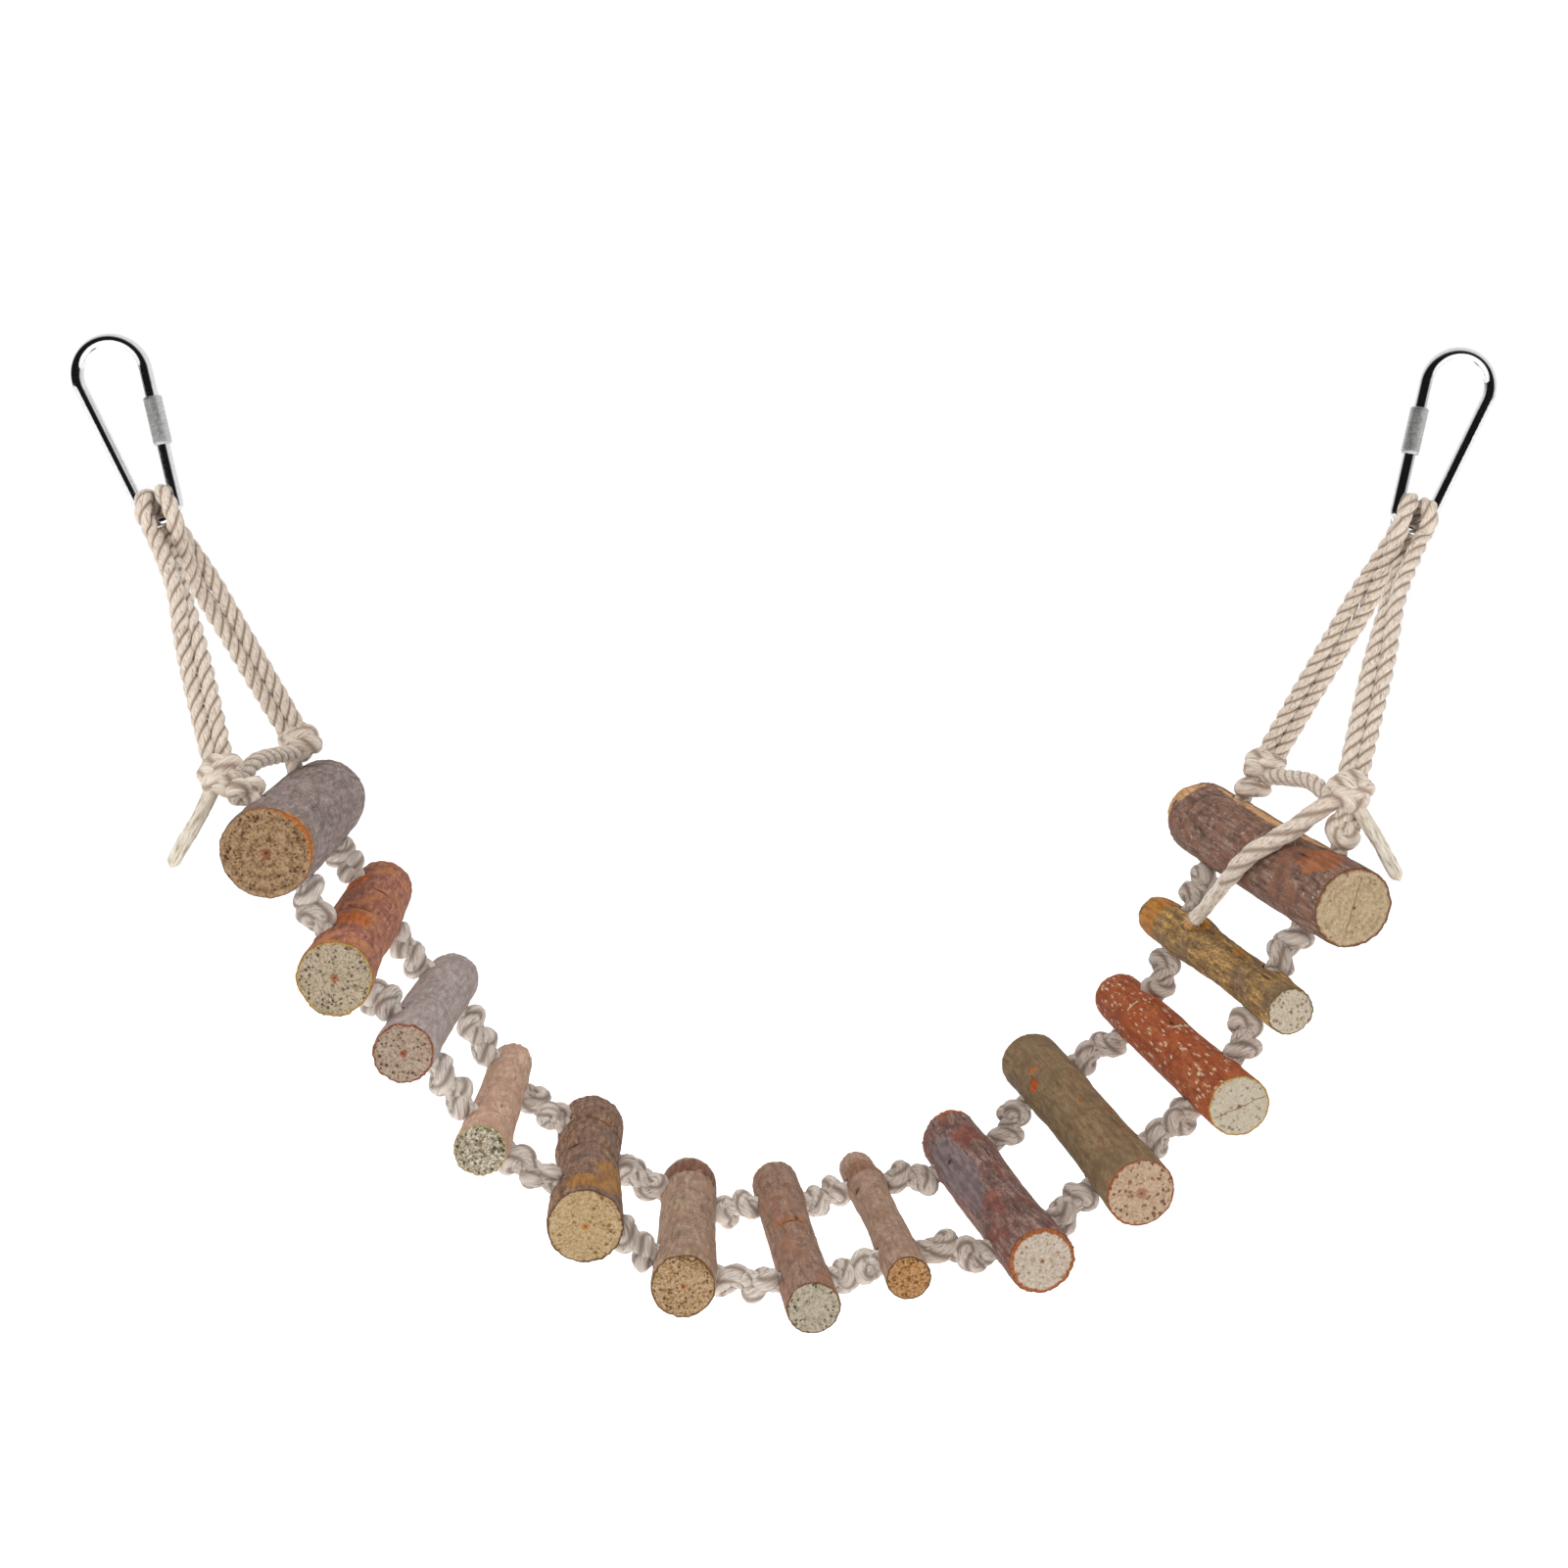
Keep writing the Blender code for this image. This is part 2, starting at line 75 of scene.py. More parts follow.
# diameter, step from the rung before, its heading above +X, yaw, dip,
# and the profile: (place from the front end, share of the radius)
RUNGS = (
    (21.3, 0.0, 0, 1, 2, ((0.0, 0.98), (0.3, 1.0), (0.7, 1.0), (1.0, 0.97))),
    (17.2, 30.0, -62, 1, 5, ((0.0, 1.0), (0.35, 0.9), (0.55, 0.98), (1.0, 0.9))),
    (14.2, 26.5, -52, -1, 0, ((0.0, 1.0), (0.4, 0.96), (1.0, 1.0))),
    (12.5, 28.0, -54, 0, 0, ((0.0, 1.0), (0.5, 0.9), (1.0, 0.86))),
    (17.6, 28.5, -40, 2, 0, ((0.0, 1.0), (0.3, 0.96), (0.6, 0.86), (1.0, 1.0))),
    (15.2, 29.0, -32, -1, -1, ((0.0, 1.0), (0.5, 0.93), (1.0, 0.96))),
    (12.9, 26.5, -6, 4, 3, ((0.0, 1.0), (0.4, 0.92), (1.0, 0.98))),
    (10.7, 23.0, 13, 4, 1, ((0.0, 1.0), (0.45, 0.86), (0.8, 0.94), (1.0, 0.88))),
    (16.6, 28.5, 11, 8, 4, ((0.0, 1.0), (0.4, 0.94), (0.75, 1.0), (1.0, 0.96))),
    (16.6, 29.5, 40, 9, 8, ((0.0, 1.0), (0.35, 0.95), (0.6, 0.92), (1.0, 1.0))),
    (15.0, 29.5, 39, 8, 6, ((0.0, 1.0), (0.4, 0.95), (0.8, 0.93), (1.0, 0.9))),
    (11.5, 25.0, 64, 9, 6, ((0.0, 1.0), (0.4, 0.94), (0.7, 1.04), (1.0, 0.98))),
    (19.6, 28.0, 64, 11, 8, ((0.0, 1.0), (0.5, 0.98), (1.0, 1.0))),
)
LAST = len(RUNGS) - 1
# side, lean, reach, drop, the ropes' direction, and each knot's distance and direction from its hole
ENDS = {
    "left": (1, -18, 31.0, 76.6, 120, ((20.0, 130), (17.2, 104))),
    "right": (-1, 18, 33.1, 85.8, 68, ((24.2, 75), (19.8, 61))),
}


def heading(angle):
    return Vector((cos(radians(angle)), 0, sin(radians(angle))))


def up_link(end):
    return heading(90 - ENDS[end][1])


def narrow_centre(end):
    if end == "left":
        return Vector((0, 0, WIRE / 2 - WIDE)) - up_link(end) * LINK_CENTRES
    return centre_of(LAST) + Vector((ENDS[end][2], 0, ENDS[end][3]))


def centre_of(number):
    at = narrow_centre("left") + Vector((ENDS["left"][2], 0, -ENDS["left"][3]))
    for rung in RUNGS[1 : number + 1]:
        at += heading(rung[2]) * rung[1]
    return at


def bore_of(number):
    """The direction of a rung's holes in degrees above +X: halfway between the gaps before and after it."""
    ways = [ENDS["left"][4] - 180] + [rung[2] for rung in RUNGS[1:]] + [ENDS["right"][4]]
    return (ways[number] + ways[number + 1]) / 2


def rung_world(number):
    """A rung's own Z runs along the branch to its back end, and its own X along its holes."""
    _, _, _, yaw, dip, _ = RUNGS[number]
    turn = (
        Matrix.Rotation(radians(yaw), 4, "Z") @ Matrix.Rotation(radians(dip), 4, "X")
        @ Matrix.Rotation(-radians(bore_of(number)), 4, "Y") @ Matrix.Rotation(-pi / 2, 4, "X")
    )
    return Matrix.Translation(centre_of(number)) @ turn


worlds = [rung_world(number) for number in range(len(RUNGS))]


def share_at(number, place):
    """A rung's share of its radius at a place from its front end, 0 to 1."""
    places, shares = zip(*RUNGS[number][5])
    return np.interp(place, places, shares)


def hole(number, side):
    return worlds[number] @ Vector((0, 0, side * BORE_SPREAD / 2))


def along(number):
    return worlds[number].to_3x3() @ Vector((1, 0, 0))


def mouth(number, side, way):
    """The point where the rope comes out of a hole, on the side of the next rung (1) or the last one (-1)."""
    out = share_at(number, 0.5 + side * BORE_SPREAD / 2 / RUNG_LENGTH) * RUNGS[number][0] / 2
    return hole(number, side) + along(number) * way * (out + GAP)


def knot_centre(end, index):
    number = 0 if end == "left" else LAST
    distance, direction = ENDS[end][5][index]
    return hole(number, SIDES[index][1]) + heading(direction) * distance


# ---------------------------------------------------------------- shader nodes


def colour(red, green, blue):
    """A display colour, 0 to 255, as the renderer's linear numbers."""
    shares = (red / 255, green / 255, blue / 255)
    return tuple(c / 12.92 if c <= 0.04045 else ((c + 0.055) / 1.055) ** 2.4 for c in shares)


class Shader:
    """A material and short names for the nodes that it is made of."""

    def __init__(self, name, roughness=0.8, **sockets):
        self.material = bpy.data.materials.new(name)
        self.material.use_nodes = True
        self.tree = self.material.node_tree
        self.bsdf = self.tree.nodes["Principled BSDF"]
        self.set(self.bsdf, {"Roughness": roughness, **sockets})

    def set(self, node, values):
        for key, value in values.items():
            socket = node.inputs[key]
            if isinstance(value, bpy.types.NodeSocket):
                self.tree.links.new(value, socket)
            elif isinstance(value, tuple) and socket.type == "RGBA":
                socket.default_value = (*value, 1)
            else:
                socket.default_value = value

    def node(self, kind, values, out=0, **settings):
        made = self.tree.nodes.new("ShaderNode" + kind)
        for key, value in settings.items():
            setattr(made, key, value)
        self.set(made, values)
        return made.outputs[out]

    def place(self, stretch=(1, 1, 1), shift=(0, 0, 0)):
        """The piece's own coordinates in millimetres, scaled and shifted."""
        own = self.node("TexCoord", {}, 3)
        scale = tuple(s / MM for s in stretch)
        return self.node("Mapping", {"Vector": own, "Scale": scale, "Location": shift})

    def uv(self, stretch=(1, 1, 1)):
        return self.node("Mapping", {"Vector": self.node("UVMap", {}), "Scale": stretch})

    def maths(self, operation, a, b=0.0):
        return self.node("Math", {0: a, 1: b}, operation=operation)

    def times(self, a, b):
        return self.maths("MULTIPLY", a, b)

    def plus(self, a, b):
        return self.maths("ADD", a, b)

    def minus(self, a, b):
        return self.maths("SUBTRACT", a, b)

    def vector(self, operation, a, b=(0, 0, 0), scale=1.0):
        return self.node("VectorMath", {0: a, 1: b, 3: scale}, operation=operation)

    def noise(self, vector, detail=3.0, roughness=0.55, distortion=0.0):
        values = {"Vector": vector, "Scale": 1.0, "Detail": detail, "Roughness": roughness}
        return self.node("TexNoise", {**values, "Distortion": distortion})

    def cells(self, vector, out=0):
        return self.node("TexVoronoi", {"Vector": vector, "Scale": 1.0, "Randomness": 1.0}, out)

    def mask(self, name):
        """A value that the mesh carries at each point."""
        return self.node("Attribute", {}, 2, attribute_name=name)

    def band(self, value, low, high):
        """0 below low, 1 above high, and smooth between them. With low above high it falls."""
        values = {0: value, 1: low, 2: high, 3: 0.0, 4: 1.0}
        if low > high:
            values = {0: value, 1: high, 2: low, 3: 1.0, 4: 0.0}
        return self.node("MapRange", values, interpolation_type="SMOOTHSTEP")

    def mix(self, factor, a, b):
        return self.node("Mix", {0: factor, 6: a, 7: b}, 2, data_type="RGBA")

    def ramp(self, value, *tones):
        made = self.tree.nodes.new("ShaderNodeValToRGB")
        self.set(made, {0: value})
        stops = made.color_ramp.elements
        while len(stops) < len(tones):
            stops.new(0.5)
        for stop, (position, tone) in zip(stops, tones):
            stop.position, stop.color = position, (*tone, 1)
        return made.outputs[0]

    def bump(self, height, strength, distance, normal=None):
        values = {"Height": height, "Strength": strength, "Distance": distance * MM}
        if normal:
            values["Normal"] = normal
        return self.node("Bump", values)

    def finish(self, base, normal=None, **more):
        self.set(self.bsdf, {"Base Color": base, **({"Normal": normal} if normal else {}), **more})
        return self.material


# ---------------------------------------------------------------- meshes


def value_noise(points, seed):
    """Smooth noise from -1 to 1, with one value to each unit cell."""
    cell = np.floor(points).astype(np.int64)
    part = points - cell
    part = part * part * (3 - 2 * part)
    total = np.zeros(len(points))
    for corner in range(8):
        step = np.array([corner & 1, corner >> 1 & 1, corner >> 2])
        key = (cell + step) @ np.array([73856093, 19349663, 83492791]) + seed * 2654435761
        key = (key ^ (key >> 13)) * 1274126177
        value = ((key ^ (key >> 16)) & 0xFFFF) / 32767.5 - 1
        total += np.prod(np.where(step, part, 1 - part), axis=1) * value
    return total


def rough_noise(points, seed, octaves=3):
    whole = 2 - 2 ** (1 - octaves)
    return sum(value_noise(points * 2**o, seed + o) / 2**o for o in range(octaves)) / whole


def mesh_object(name, points, faces, materials, indices=None, uv=None, attributes=None, sharp=50):
    """A smooth mesh, in millimetres. uv has a row for each face corner, and attributes a value for each point."""
    mesh = bpy.data.meshes.new(name)
    mesh.from_pydata((np.asarray(points) * MM).tolist(), [], [list(map(int, face)) for face in faces])
    for material in materials:
        mesh.materials.append(material)
    if indices is not None:
        mesh.polygons.foreach_set("material_index", np.asarray(indices, np.int32))
    if uv is not None:
        layer = mesh.uv_layers.new(name="UVMap")
        layer.data.foreach_set("uv", np.asarray(uv, np.float32).ravel())
    for key, values in (attributes or {}).items():
        layer = mesh.attributes.new(key, "FLOAT", "POINT")
        layer.data.foreach_set("value", np.asarray(values, np.float32))
    mesh.shade_smooth()
    mesh.set_sharp_from_angle(angle=radians(sharp))
    obj = bpy.data.objects.new(name, mesh)
    scene.collection.objects.link(obj)
    return obj


def tube_faces(row, column, around, rows=None):
    """A tube's faces, one from each point at (row, column). With rows given, the last ring joins the first."""
    above = row + 1 if rows is None else (row + 1) % rows
    ahead = (column + 1) % around
    row, above = row * around, above * around
    return np.stack([row + column, row + ahead, above + ahead, above + column], 1)


def cap_faces(rows, around):
    """The triangles that close a tube's two ends, on the two points that come after its rings."""
    start, end = rows * around, (rows - 1) * around
    first = [(start, (j + 1) % around, j) for j in range(around)]
    return first + [(start + 1, end + j, end + (j + 1) % around) for j in range(around)]


def smooth(route, per_leg):
    """Points read from a smooth curve (Catmull-Rom) through the route's own points."""
    ends = [2 * route[0] - route[1], *route, 2 * route[-1] - route[-2]]
    found = []
    for before, a, b, after in zip(ends, ends[1:], ends[2:], ends[3:]):
        for step in range(per_leg):
            t = step / per_leg
            found.append(
                0.5 * (2 * a + (b - before) * t + (2 * before - 5 * a + 4 * b - after) * t**2
                       + (3 * a - before - 3 * b + after) * t**3)
            )
    return [*found, route[-1]]


def evenly(path, radii, step):
    """A path and its radii resampled at an even spacing."""
    path, radii = np.array(path, float), np.array(radii, float)
    lengths = np.concatenate([[0], np.cumsum(np.linalg.norm(np.diff(path, axis=0), axis=1))])
    count = max(8, int(round(lengths[-1] / step)))
    at = np.linspace(0, lengths[-1], count + 1)
    points = np.stack([np.interp(at, lengths, path[:, k]) for k in range(3)], 1)
    return points, np.interp(at, lengths, radii), at


def carried_frames(path):
    """Two directions across the path at each point, carried along it with no twist of their own."""
    tangents = np.gradient(path, axis=0)
    tangents /= np.linalg.norm(tangents, axis=1)[:, None]
    first = np.cross(tangents[0], (0, 1, 0) if abs(tangents[0][1]) < 0.9 else (1, 0, 0))
    across = [first / np.linalg.norm(first)]
    for tangent in tangents[1:]:
        side = across[-1] - tangent * (across[-1] @ tangent)
        across.append(side / np.linalg.norm(side))
    across = np.array(across)
    return across, np.cross(tangents, across)


def lobes(angles, centre=0.42):
    """The outline of three strands laid together, as a share of the rope's radius."""
    third = tau / 3
    near = (angles + third / 2) % third - third / 2
    ball = 1 - centre
    return centre * np.cos(near) + np.sqrt(ball**2 - (centre * np.sin(near)) ** 2)


LAY = 11.5  # mm of rope for one turn of its strands


def rope_object(name, path, radii, material, step=0.33, around=28, lay=LAY, phase=0,
                soft=0.0, wobble=0.0, seed=1):
    """A three-strand rope swept along a path, closed at both ends, with the length along it in its UVs.

    soft rounds off the strands, from 0 to 1, and wobble is how uneven the surface is.
    """
    path, radii, at = evenly(path, radii, step)
    across, other = carried_frames(path)
    own = np.arange(around) * tau / around
    shape = lobes(own) * (1 - soft) + 0.93 * soft
    turned = own[None, :] + at[:, None] / lay * tau + phase
    reach = radii[:, None] * shape[None, :]
    ring = 1.3 * np.stack([np.cos(own), np.sin(own)], -1)
    spots = np.concatenate([
        np.broadcast_to(at[:, None, None] * 0.9, (*turned.shape, 1)),
        np.broadcast_to(ring[None], (*turned.shape, 2)),
    ], -1)
    reach = reach * (1 + wobble * rough_noise(spots.reshape(-1, 3), seed, 2).reshape(reach.shape))
    rings = (path[:, None] + across[:, None] * (np.cos(turned) * reach)[..., None]
             + other[:, None] * (np.sin(turned) * reach)[..., None])
    count = len(path)
    points = np.concatenate([rings.reshape(-1, 3), path[:1], path[-1:]])
    row, column = np.meshgrid(np.arange(count - 1), np.arange(around), indexing="ij")
    row, column = row.ravel(), column.ravel()
    faces = tube_faces(row, column, around)
    girth = ROPE / 2
    u = np.stack([column, column + 1, column + 1, column], 1) * tau / around * girth
    rows = np.stack([row, row, row + 1, row + 1], 1)
    u = u + at[rows] / lay * tau * girth
    uv = np.stack([u, at[rows]], -1).reshape(-1, 2)
    caps = cap_faces(count, around)
    uv = np.concatenate([uv, np.zeros((len(caps) * 3, 2))])
    # painted shade: how deep each point lies between two strands, by which the rope's materials darken the
    # creases
    depth = np.broadcast_to((1 - shape) / (1 - shape.min() + 1e-6), rings.shape[:2])
    attributes = {"crease": np.concatenate([depth.ravel(), [0.5, 0.5]])}
    return mesh_object(name, points, [*faces, *caps], [material], uv=uv, attributes=attributes, sharp=75)


def smoothstep(value, low, high):
    part = np.clip((np.asarray(value, float) - low) / (high - low), 0, 1)
    return part * part * (3 - 2 * part)


def v3(point):
    return np.array(point[:], float)


# ---------------------------------------------------------------- rope material


def cotton(name, light, middle, dark):
    """Twisted cotton. Across a strand the UVs run round the rope, and along it they follow the rope."""
    s = Shader(name, roughness=0.93)
    s.set(s.bsdf, {"Sheen Weight": 0.35, "Sheen Roughness": 0.6, "Specular IOR Level": 0.2})
    crease = s.mask("crease")
    threads = s.noise(s.uv((2.6, 0.42, 1)), 3, 0.6)
    fibres = s.noise(s.uv((9.0, 1.1, 1)), 2, 0.6)
    patchy = s.noise(s.place((0.16, 0.16, 0.16)), 2)
    height = s.plus(s.times(threads, 0.65), s.times(fibres, 0.35))
    base = s.ramp(height, (0.36, dark), (0.47, middle), (0.62, light))
    base = s.mix(s.times(s.band(patchy, 0.45, 0.7), 0.35), base, middle)
    # painted shade: the creases between the strands are darkened towards the dark tone
    base = s.mix(s.times(s.band(crease, 0.3, 0.95), 0.8), base, dark)
    normal = s.bump(height, 0.55, 0.35)
    return s.finish(base, normal)


# the rope's light, middle and dark tones; the dark one also paints the shade in the creases
ROPE_TONES = colour(231, 218, 203), colour(211, 195, 178), colour(134, 107, 86)
rope_warm = cotton("rope_warm", *ROPE_TONES)
# the grey rope three times over, as painted light and shade: a lighter copy for the first three gaps, the plain
# one for the next four, and a darker copy for the last five
rope_greys_painted_light_and_shade = [
    cotton("rope_grey_painted_light", colour(238, 230, 221), colour(216, 204, 192), colour(126, 105, 90)),
    cotton("rope_grey", colour(228, 219, 209), colour(202, 189, 177), colour(120, 99, 84)),
    cotton("rope_grey_painted_shade", colour(206, 193, 182), colour(178, 162, 149), colour(100, 80, 66)),
]


def dipped():
    s = Shader("rope_dipped", roughness=0.38)
    s.set(s.bsdf, {"Subsurface Weight": 0.15, "Subsurface Radius": (1.5 * MM, 1.0 * MM, 0.6 * MM)})
    threads = s.noise(s.uv((2.0, 0.25, 1)), 3, 0.6)
    dark, middle, light = colour(166, 148, 126), colour(212, 200, 182), colour(235, 228, 216)
    base = s.ramp(threads, (0.35, dark), (0.48, middle), (0.64, light))
    return s.finish(base, s.bump(threads, 0.4, 0.25))


rope_dipped = dipped()

# ---------------------------------------------------------------- ropes


def is_for(node):
    """Hides the CAD node that a piece stands for."""
    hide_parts(node)


def put(piece, world):
    """Places a piece whose points are in the frame of world, which is in millimetres."""
    piece.matrix_world = Matrix.Translation(world.translation * MM) @ world.to_3x3().to_4x4()


def joined(name, parts):
    """One object from several, which keeps the first one's name and materials."""
    bpy.context.view_layer.update()
    for part in bpy.context.selected_objects:
        part.select_set(False)
    for part in parts:
        part.select_set(True)
    bpy.context.view_layer.objects.active = parts[0]
    bpy.ops.object.join()
    parts[0].name = name
    return parts[0]


def fuzz_on(path, reach, count, seed, length=(1.0, 3.2)):
    """Stray fibres round a path: for each, its points."""
    random = np.random.default_rng(seed)
    path = np.array(path, float)
    found = []
    for _ in range(count):
        at = path[random.integers(1, len(path) - 1)]
        way = random.normal(size=3)
        way /= np.linalg.norm(way)
        bend = random.normal(size=3)
        start = at + way * reach * 0.85
        size = random.uniform(*length)
        curl = np.cross(way, bend)
        curl /= np.linalg.norm(curl) + 1e-9
        lean = way * random.uniform(0.25, 0.9) + curl * random.uniform(0.5, 1.2)
        found.append([start, start + lean * size * 0.35, start + lean * size * 0.6 + curl * size * 0.18,
                      start + lean * size * 0.8 + curl * size * 0.45 - way * size * 0.1])
    return found


def fibre_mesh(name, fibres, thickness, material):
    points, faces = [], []
    for fibre in fibres:
        line = np.array(fibre, float)
        across, other = carried_frames(line)
        base, count = len(points), len(line)
        for k, (at, a, b) in enumerate(zip(line, across, other)):
            size = thickness * (1 - 0.75 * k / (count - 1))
            points += [at + size * (cos(t) * a + sin(t) * b) for t in (0, tau / 3, 2 * tau / 3)]
        for k in range(count - 1):
            for j in range(3):
                a, b = base + 3 * k + j, base + 3 * k + (j + 1) % 3
                faces.append((a, b, b + 3, a + 3))
        end = base + 3 * count
        faces += [(base + 2, base + 1, base), (end - 3, end - 2, end - 1)]
    uv = np.full((sum(len(face) for face in faces), 2), 0.3)
    return mesh_object(name, points, faces, [material], uv=uv, attributes={"crease": np.zeros(len(points))})


def overhand(centre, forward, turn, size, flip=1, span=1.98, steps=34):
    """An overhand knot's line. size is its spread along, across and through, for each unit of the curve."""
    t = np.linspace(-span, span, steps)
    forward = np.array(forward, float)
    forward /= np.linalg.norm(forward)
    side = np.cross(forward, (0, 1, 0.2))
    side /= np.linalg.norm(side)
    up = np.cross(side, forward)
    side, up = cos(turn) * side + sin(turn) * up, cos(turn) * up - sin(turn) * side
    calm = 1 - 0.8 * smoothstep(np.abs(t), span * 0.84, span)
    x = (t**3 - 3 * t) * size[0]
    y = (t**4 - 4 * t**2 + 2) * size[1] * calm
    z = (t**5 / 5 - 2 * t) * size[2] * calm * flip
    return np.array(centre) + x[:, None] * forward + y[:, None] * side + z[:, None] * up


def stretch_route(number, side):
    """The rope from the middle of one rung's hole to the middle of the next one's, with two knots between."""
    start, end = mouth(number, side, 1), mouth(number + 1, side, -1)
    here, there = along(number), along(number + 1)
    length = (end - start).length
    random = np.random.default_rng(100 + number * 2 + (side > 0))
    middle = interpolate_bezier(start, start + here * length / 3, end - there * length / 3, end, 41)
    parts = [[v3(hole(number, side)), v3(start - here * 1.2)]]
    reach = (length - 3.4) / 4.1 / 2
    for place, flip in ((0.27, 1), (0.73, -1)):
        step = int(place * 40)
        at, ahead = middle[step], middle[step + 2] - middle[step - 2]
        turn = random.uniform(0, tau)
        sway = random.normal(size=3) * 0.25
        hand = flip * (1 if number % 2 else -1)
        parts.append(overhand(v3(at) + sway, ahead, turn, (reach * 0.78, 0.98, 1.04), hand))
    parts.append([v3(end + there * 1.2), v3(hole(number + 1, side))])
    route = np.concatenate([np.array(part) for part in parts])
    return smooth([Vector(point) for point in route], 4)


for number in range(LAST):
    for side_name, side in SIDES:
        name = f"rope_{side_name}_{number + 1:02d}_{number + 2:02d}"
        # the gaps at the left take the copy with painted light, and those at the right the one with painted shade
        rope_grey = rope_greys_painted_light_and_shade[(number > 2) + (number > 6)]
        route = stretch_route(number, side)
        radii = [2.5] * len(route)
        seed = 10 + number * 2 + (side > 0)
        twist = {"lay": 12, "phase": seed, "seed": seed}
        rope = rope_object("knots", route, radii, rope_grey, wobble=0.07, soft=0.55, **twist)
        start, end = mouth(number, side, 1), mouth(number + 1, side, -1)
        inside = start - along(number) * 1.5, end + along(number + 1) * 1.5
        line = smooth([inside[0], start.lerp(end, 0.33), start.lerp(end, 0.67), inside[1]], 8)
        radii = [2.5] * len(line)
        core = rope_object("core", line, radii, rope_grey, around=24, wobble=0.08, soft=0.3, **twist)
        fuzz = fibre_mesh("fuzz", fuzz_on(route, 2.2, 30, seed), 0.045, rope_grey)
        rope = joined(f"knotted_{name}", [rope, core, fuzz])
        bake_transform(rope)
        is_for(name)

# ---------------------------------------------------------------- loops, end knots and tails


# place along the leg, and how far each of its two ropes lies beside the middle line, and before or behind it
LOOP_LEGS = {
    -1: ((1.0, 1.6, 0.3), (0.78, 1.75, 0.4), (0.56, 1.45, 0.9), (0.34, 0.3, 1.75)),
    1: ((1.0, 1.75, 0.2), (0.78, 1.8, 0.4), (0.56, 1.8, 0.5), (0.34, 1.75, 0.8)),
}


def loop_route(end, knot, side):
    """A doubled loop: up from the knot, through the link's narrow end from front to back, and down again."""
    eye, up, way = narrow_centre(end), up_link(end), ENDS[end][0]
    across = Vector((up.z, 0, -up.x)) * side * way
    down = (knot - eye).normalized()
    beside = down.cross(Vector((0, 1, 0))).normalized() * way
    top = knot - down * 5.8
    half = []
    legs = [(eye.lerp(top, place), apart, deep) for place, apart, deep in LOOP_LEGS[side]]
    for strand in (-1, 1):
        over = Vector((0, strand, 0))
        half.append([
            knot - down * 1.5 + beside * strand * 1.2,
            *[point + beside * strand * apart + over * deep for point, apart, deep in legs],
            eye + across * (2.3 - 0.5 * strand) - up * (NARROW + 2.8) + over * 3.0,
            eye + across * (2.4 - 0.9 * strand) - up * 2.4 + over * 3.6,
            eye + across * (2.1 - 0.4 * strand) + up * 1.4 + over * 2.5,
        ])
    bight = eye + across * 1.75 + up * 2.5
    return [*half[0], bight, *reversed(half[1])]


# how far an end knot's turns lean from its rope, across the view and towards the viewer, where they start,
# and which way they wind
KNOT_TURNS = {
    ("left", "front"): (38, 0.30, 0.4, 1),
    ("left", "back"): (-34, 0.25, 2.2, -1),
    ("right", "front"): (38, 0.30, 1.0, 1),
    ("right", "back"): (30, 0.35, 3.0, 1),
}


def knot_lines(centre, down, lean, tip, phase, hand):
    """A knot drawn tight: two turns wound into a ball, and a band across them."""
    def turned(angle):
        leaning = Matrix.Rotation(angle, 3, "Y") @ Vector(down)
        way = np.array([leaning.x, -tip, leaning.z])
        way /= np.linalg.norm(way)
        one = np.cross(way, (0, 1, 0))
        one /= np.linalg.norm(one)
        return way, one, np.cross(way, one)

    way, one, two = turned(radians(lean))
    share = np.linspace(0, 1, 90)
    angle = phase + hand * tau * 2.15 * share
    reach = 3.1 * (0.5 + 0.5 * np.sin(pi * share) ** 0.6)
    height = 2.5 * (2 * share - 1)
    wound = np.cos(angle)[:, None] * one + np.sin(angle)[:, None] * two
    winding = centre + height[:, None] * way + reach[:, None] * wound
    way, one, two = turned(radians(lean - 68 * hand))
    angle = np.linspace(0.3, tau * 0.93 + 0.3, 60)
    swell = 3.45 - 0.4 * np.cos(angle - 0.3)
    wound = -np.cos(angle)[:, None] * one + np.sin(angle)[:, None] * two
    band = centre + 0.5 * np.sin(angle)[:, None] * way + swell[:, None] * wound
    return winding, band


def make_loop(end, index, seed):
    """One rope's doubled loop through the link."""
    side_name, side = SIDES[index]
    eye, knot = narrow_centre(end), knot_centre(end, index)
    route = smooth(loop_route(end, knot, side), 10)
    half = len(route) // 2
    radii = [2.1 - 0.5 * float(smoothstep(10 - abs(k - half), 0, 9)) for k in range(len(route))]
    name = f"{end}_loop_rope_{side_name}"
    loop = rope_object(name, route, radii, rope_warm, around=30, phase=seed, wobble=0.02, seed=seed)
    fibres = fuzz_on(route, 2.0, 70, seed, (0.8, 2.2))
    fuzz = fibre_mesh(f"{end}_loop_fuzz_{side_name}", fibres, 0.035, rope_warm)
    for piece in (loop, fuzz):
        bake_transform(piece)
    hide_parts(f"{end}_loop_{side_name}")


def make_knot(end, index, seed):
    """The knot that ties the two legs of a loop together."""
    side_name = SIDES[index][0]
    knot = knot_centre(end, index)
    down = v3((knot - narrow_centre(end)).normalized())
    winding, band = knot_lines(v3(knot) + down * 0.2, down, *KNOT_TURNS[end, side_name])
    twist = {"around": 32, "lay": 14, "wobble": 0.06, "soft": 0.62}
    fibres = fuzz_on(np.concatenate([winding, band]), 2.0, 70, seed + 9, (0.8, 2.6))
    knot_piece = joined(f"{end}_tied_knot_{side_name}", [
        rope_object("turns", winding, [2.6] * len(winding), rope_warm, phase=seed, seed=seed, **twist),
        rope_object("band", band, [2.45] * len(band), rope_warm, phase=seed + 1, seed=seed + 1, **twist),
        fibre_mesh("fuzz", fibres, 0.04, rope_warm),
    ])
    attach(knot_piece, f"{end}_loops")
    is_for(f"{end}_knot_{side_name}")


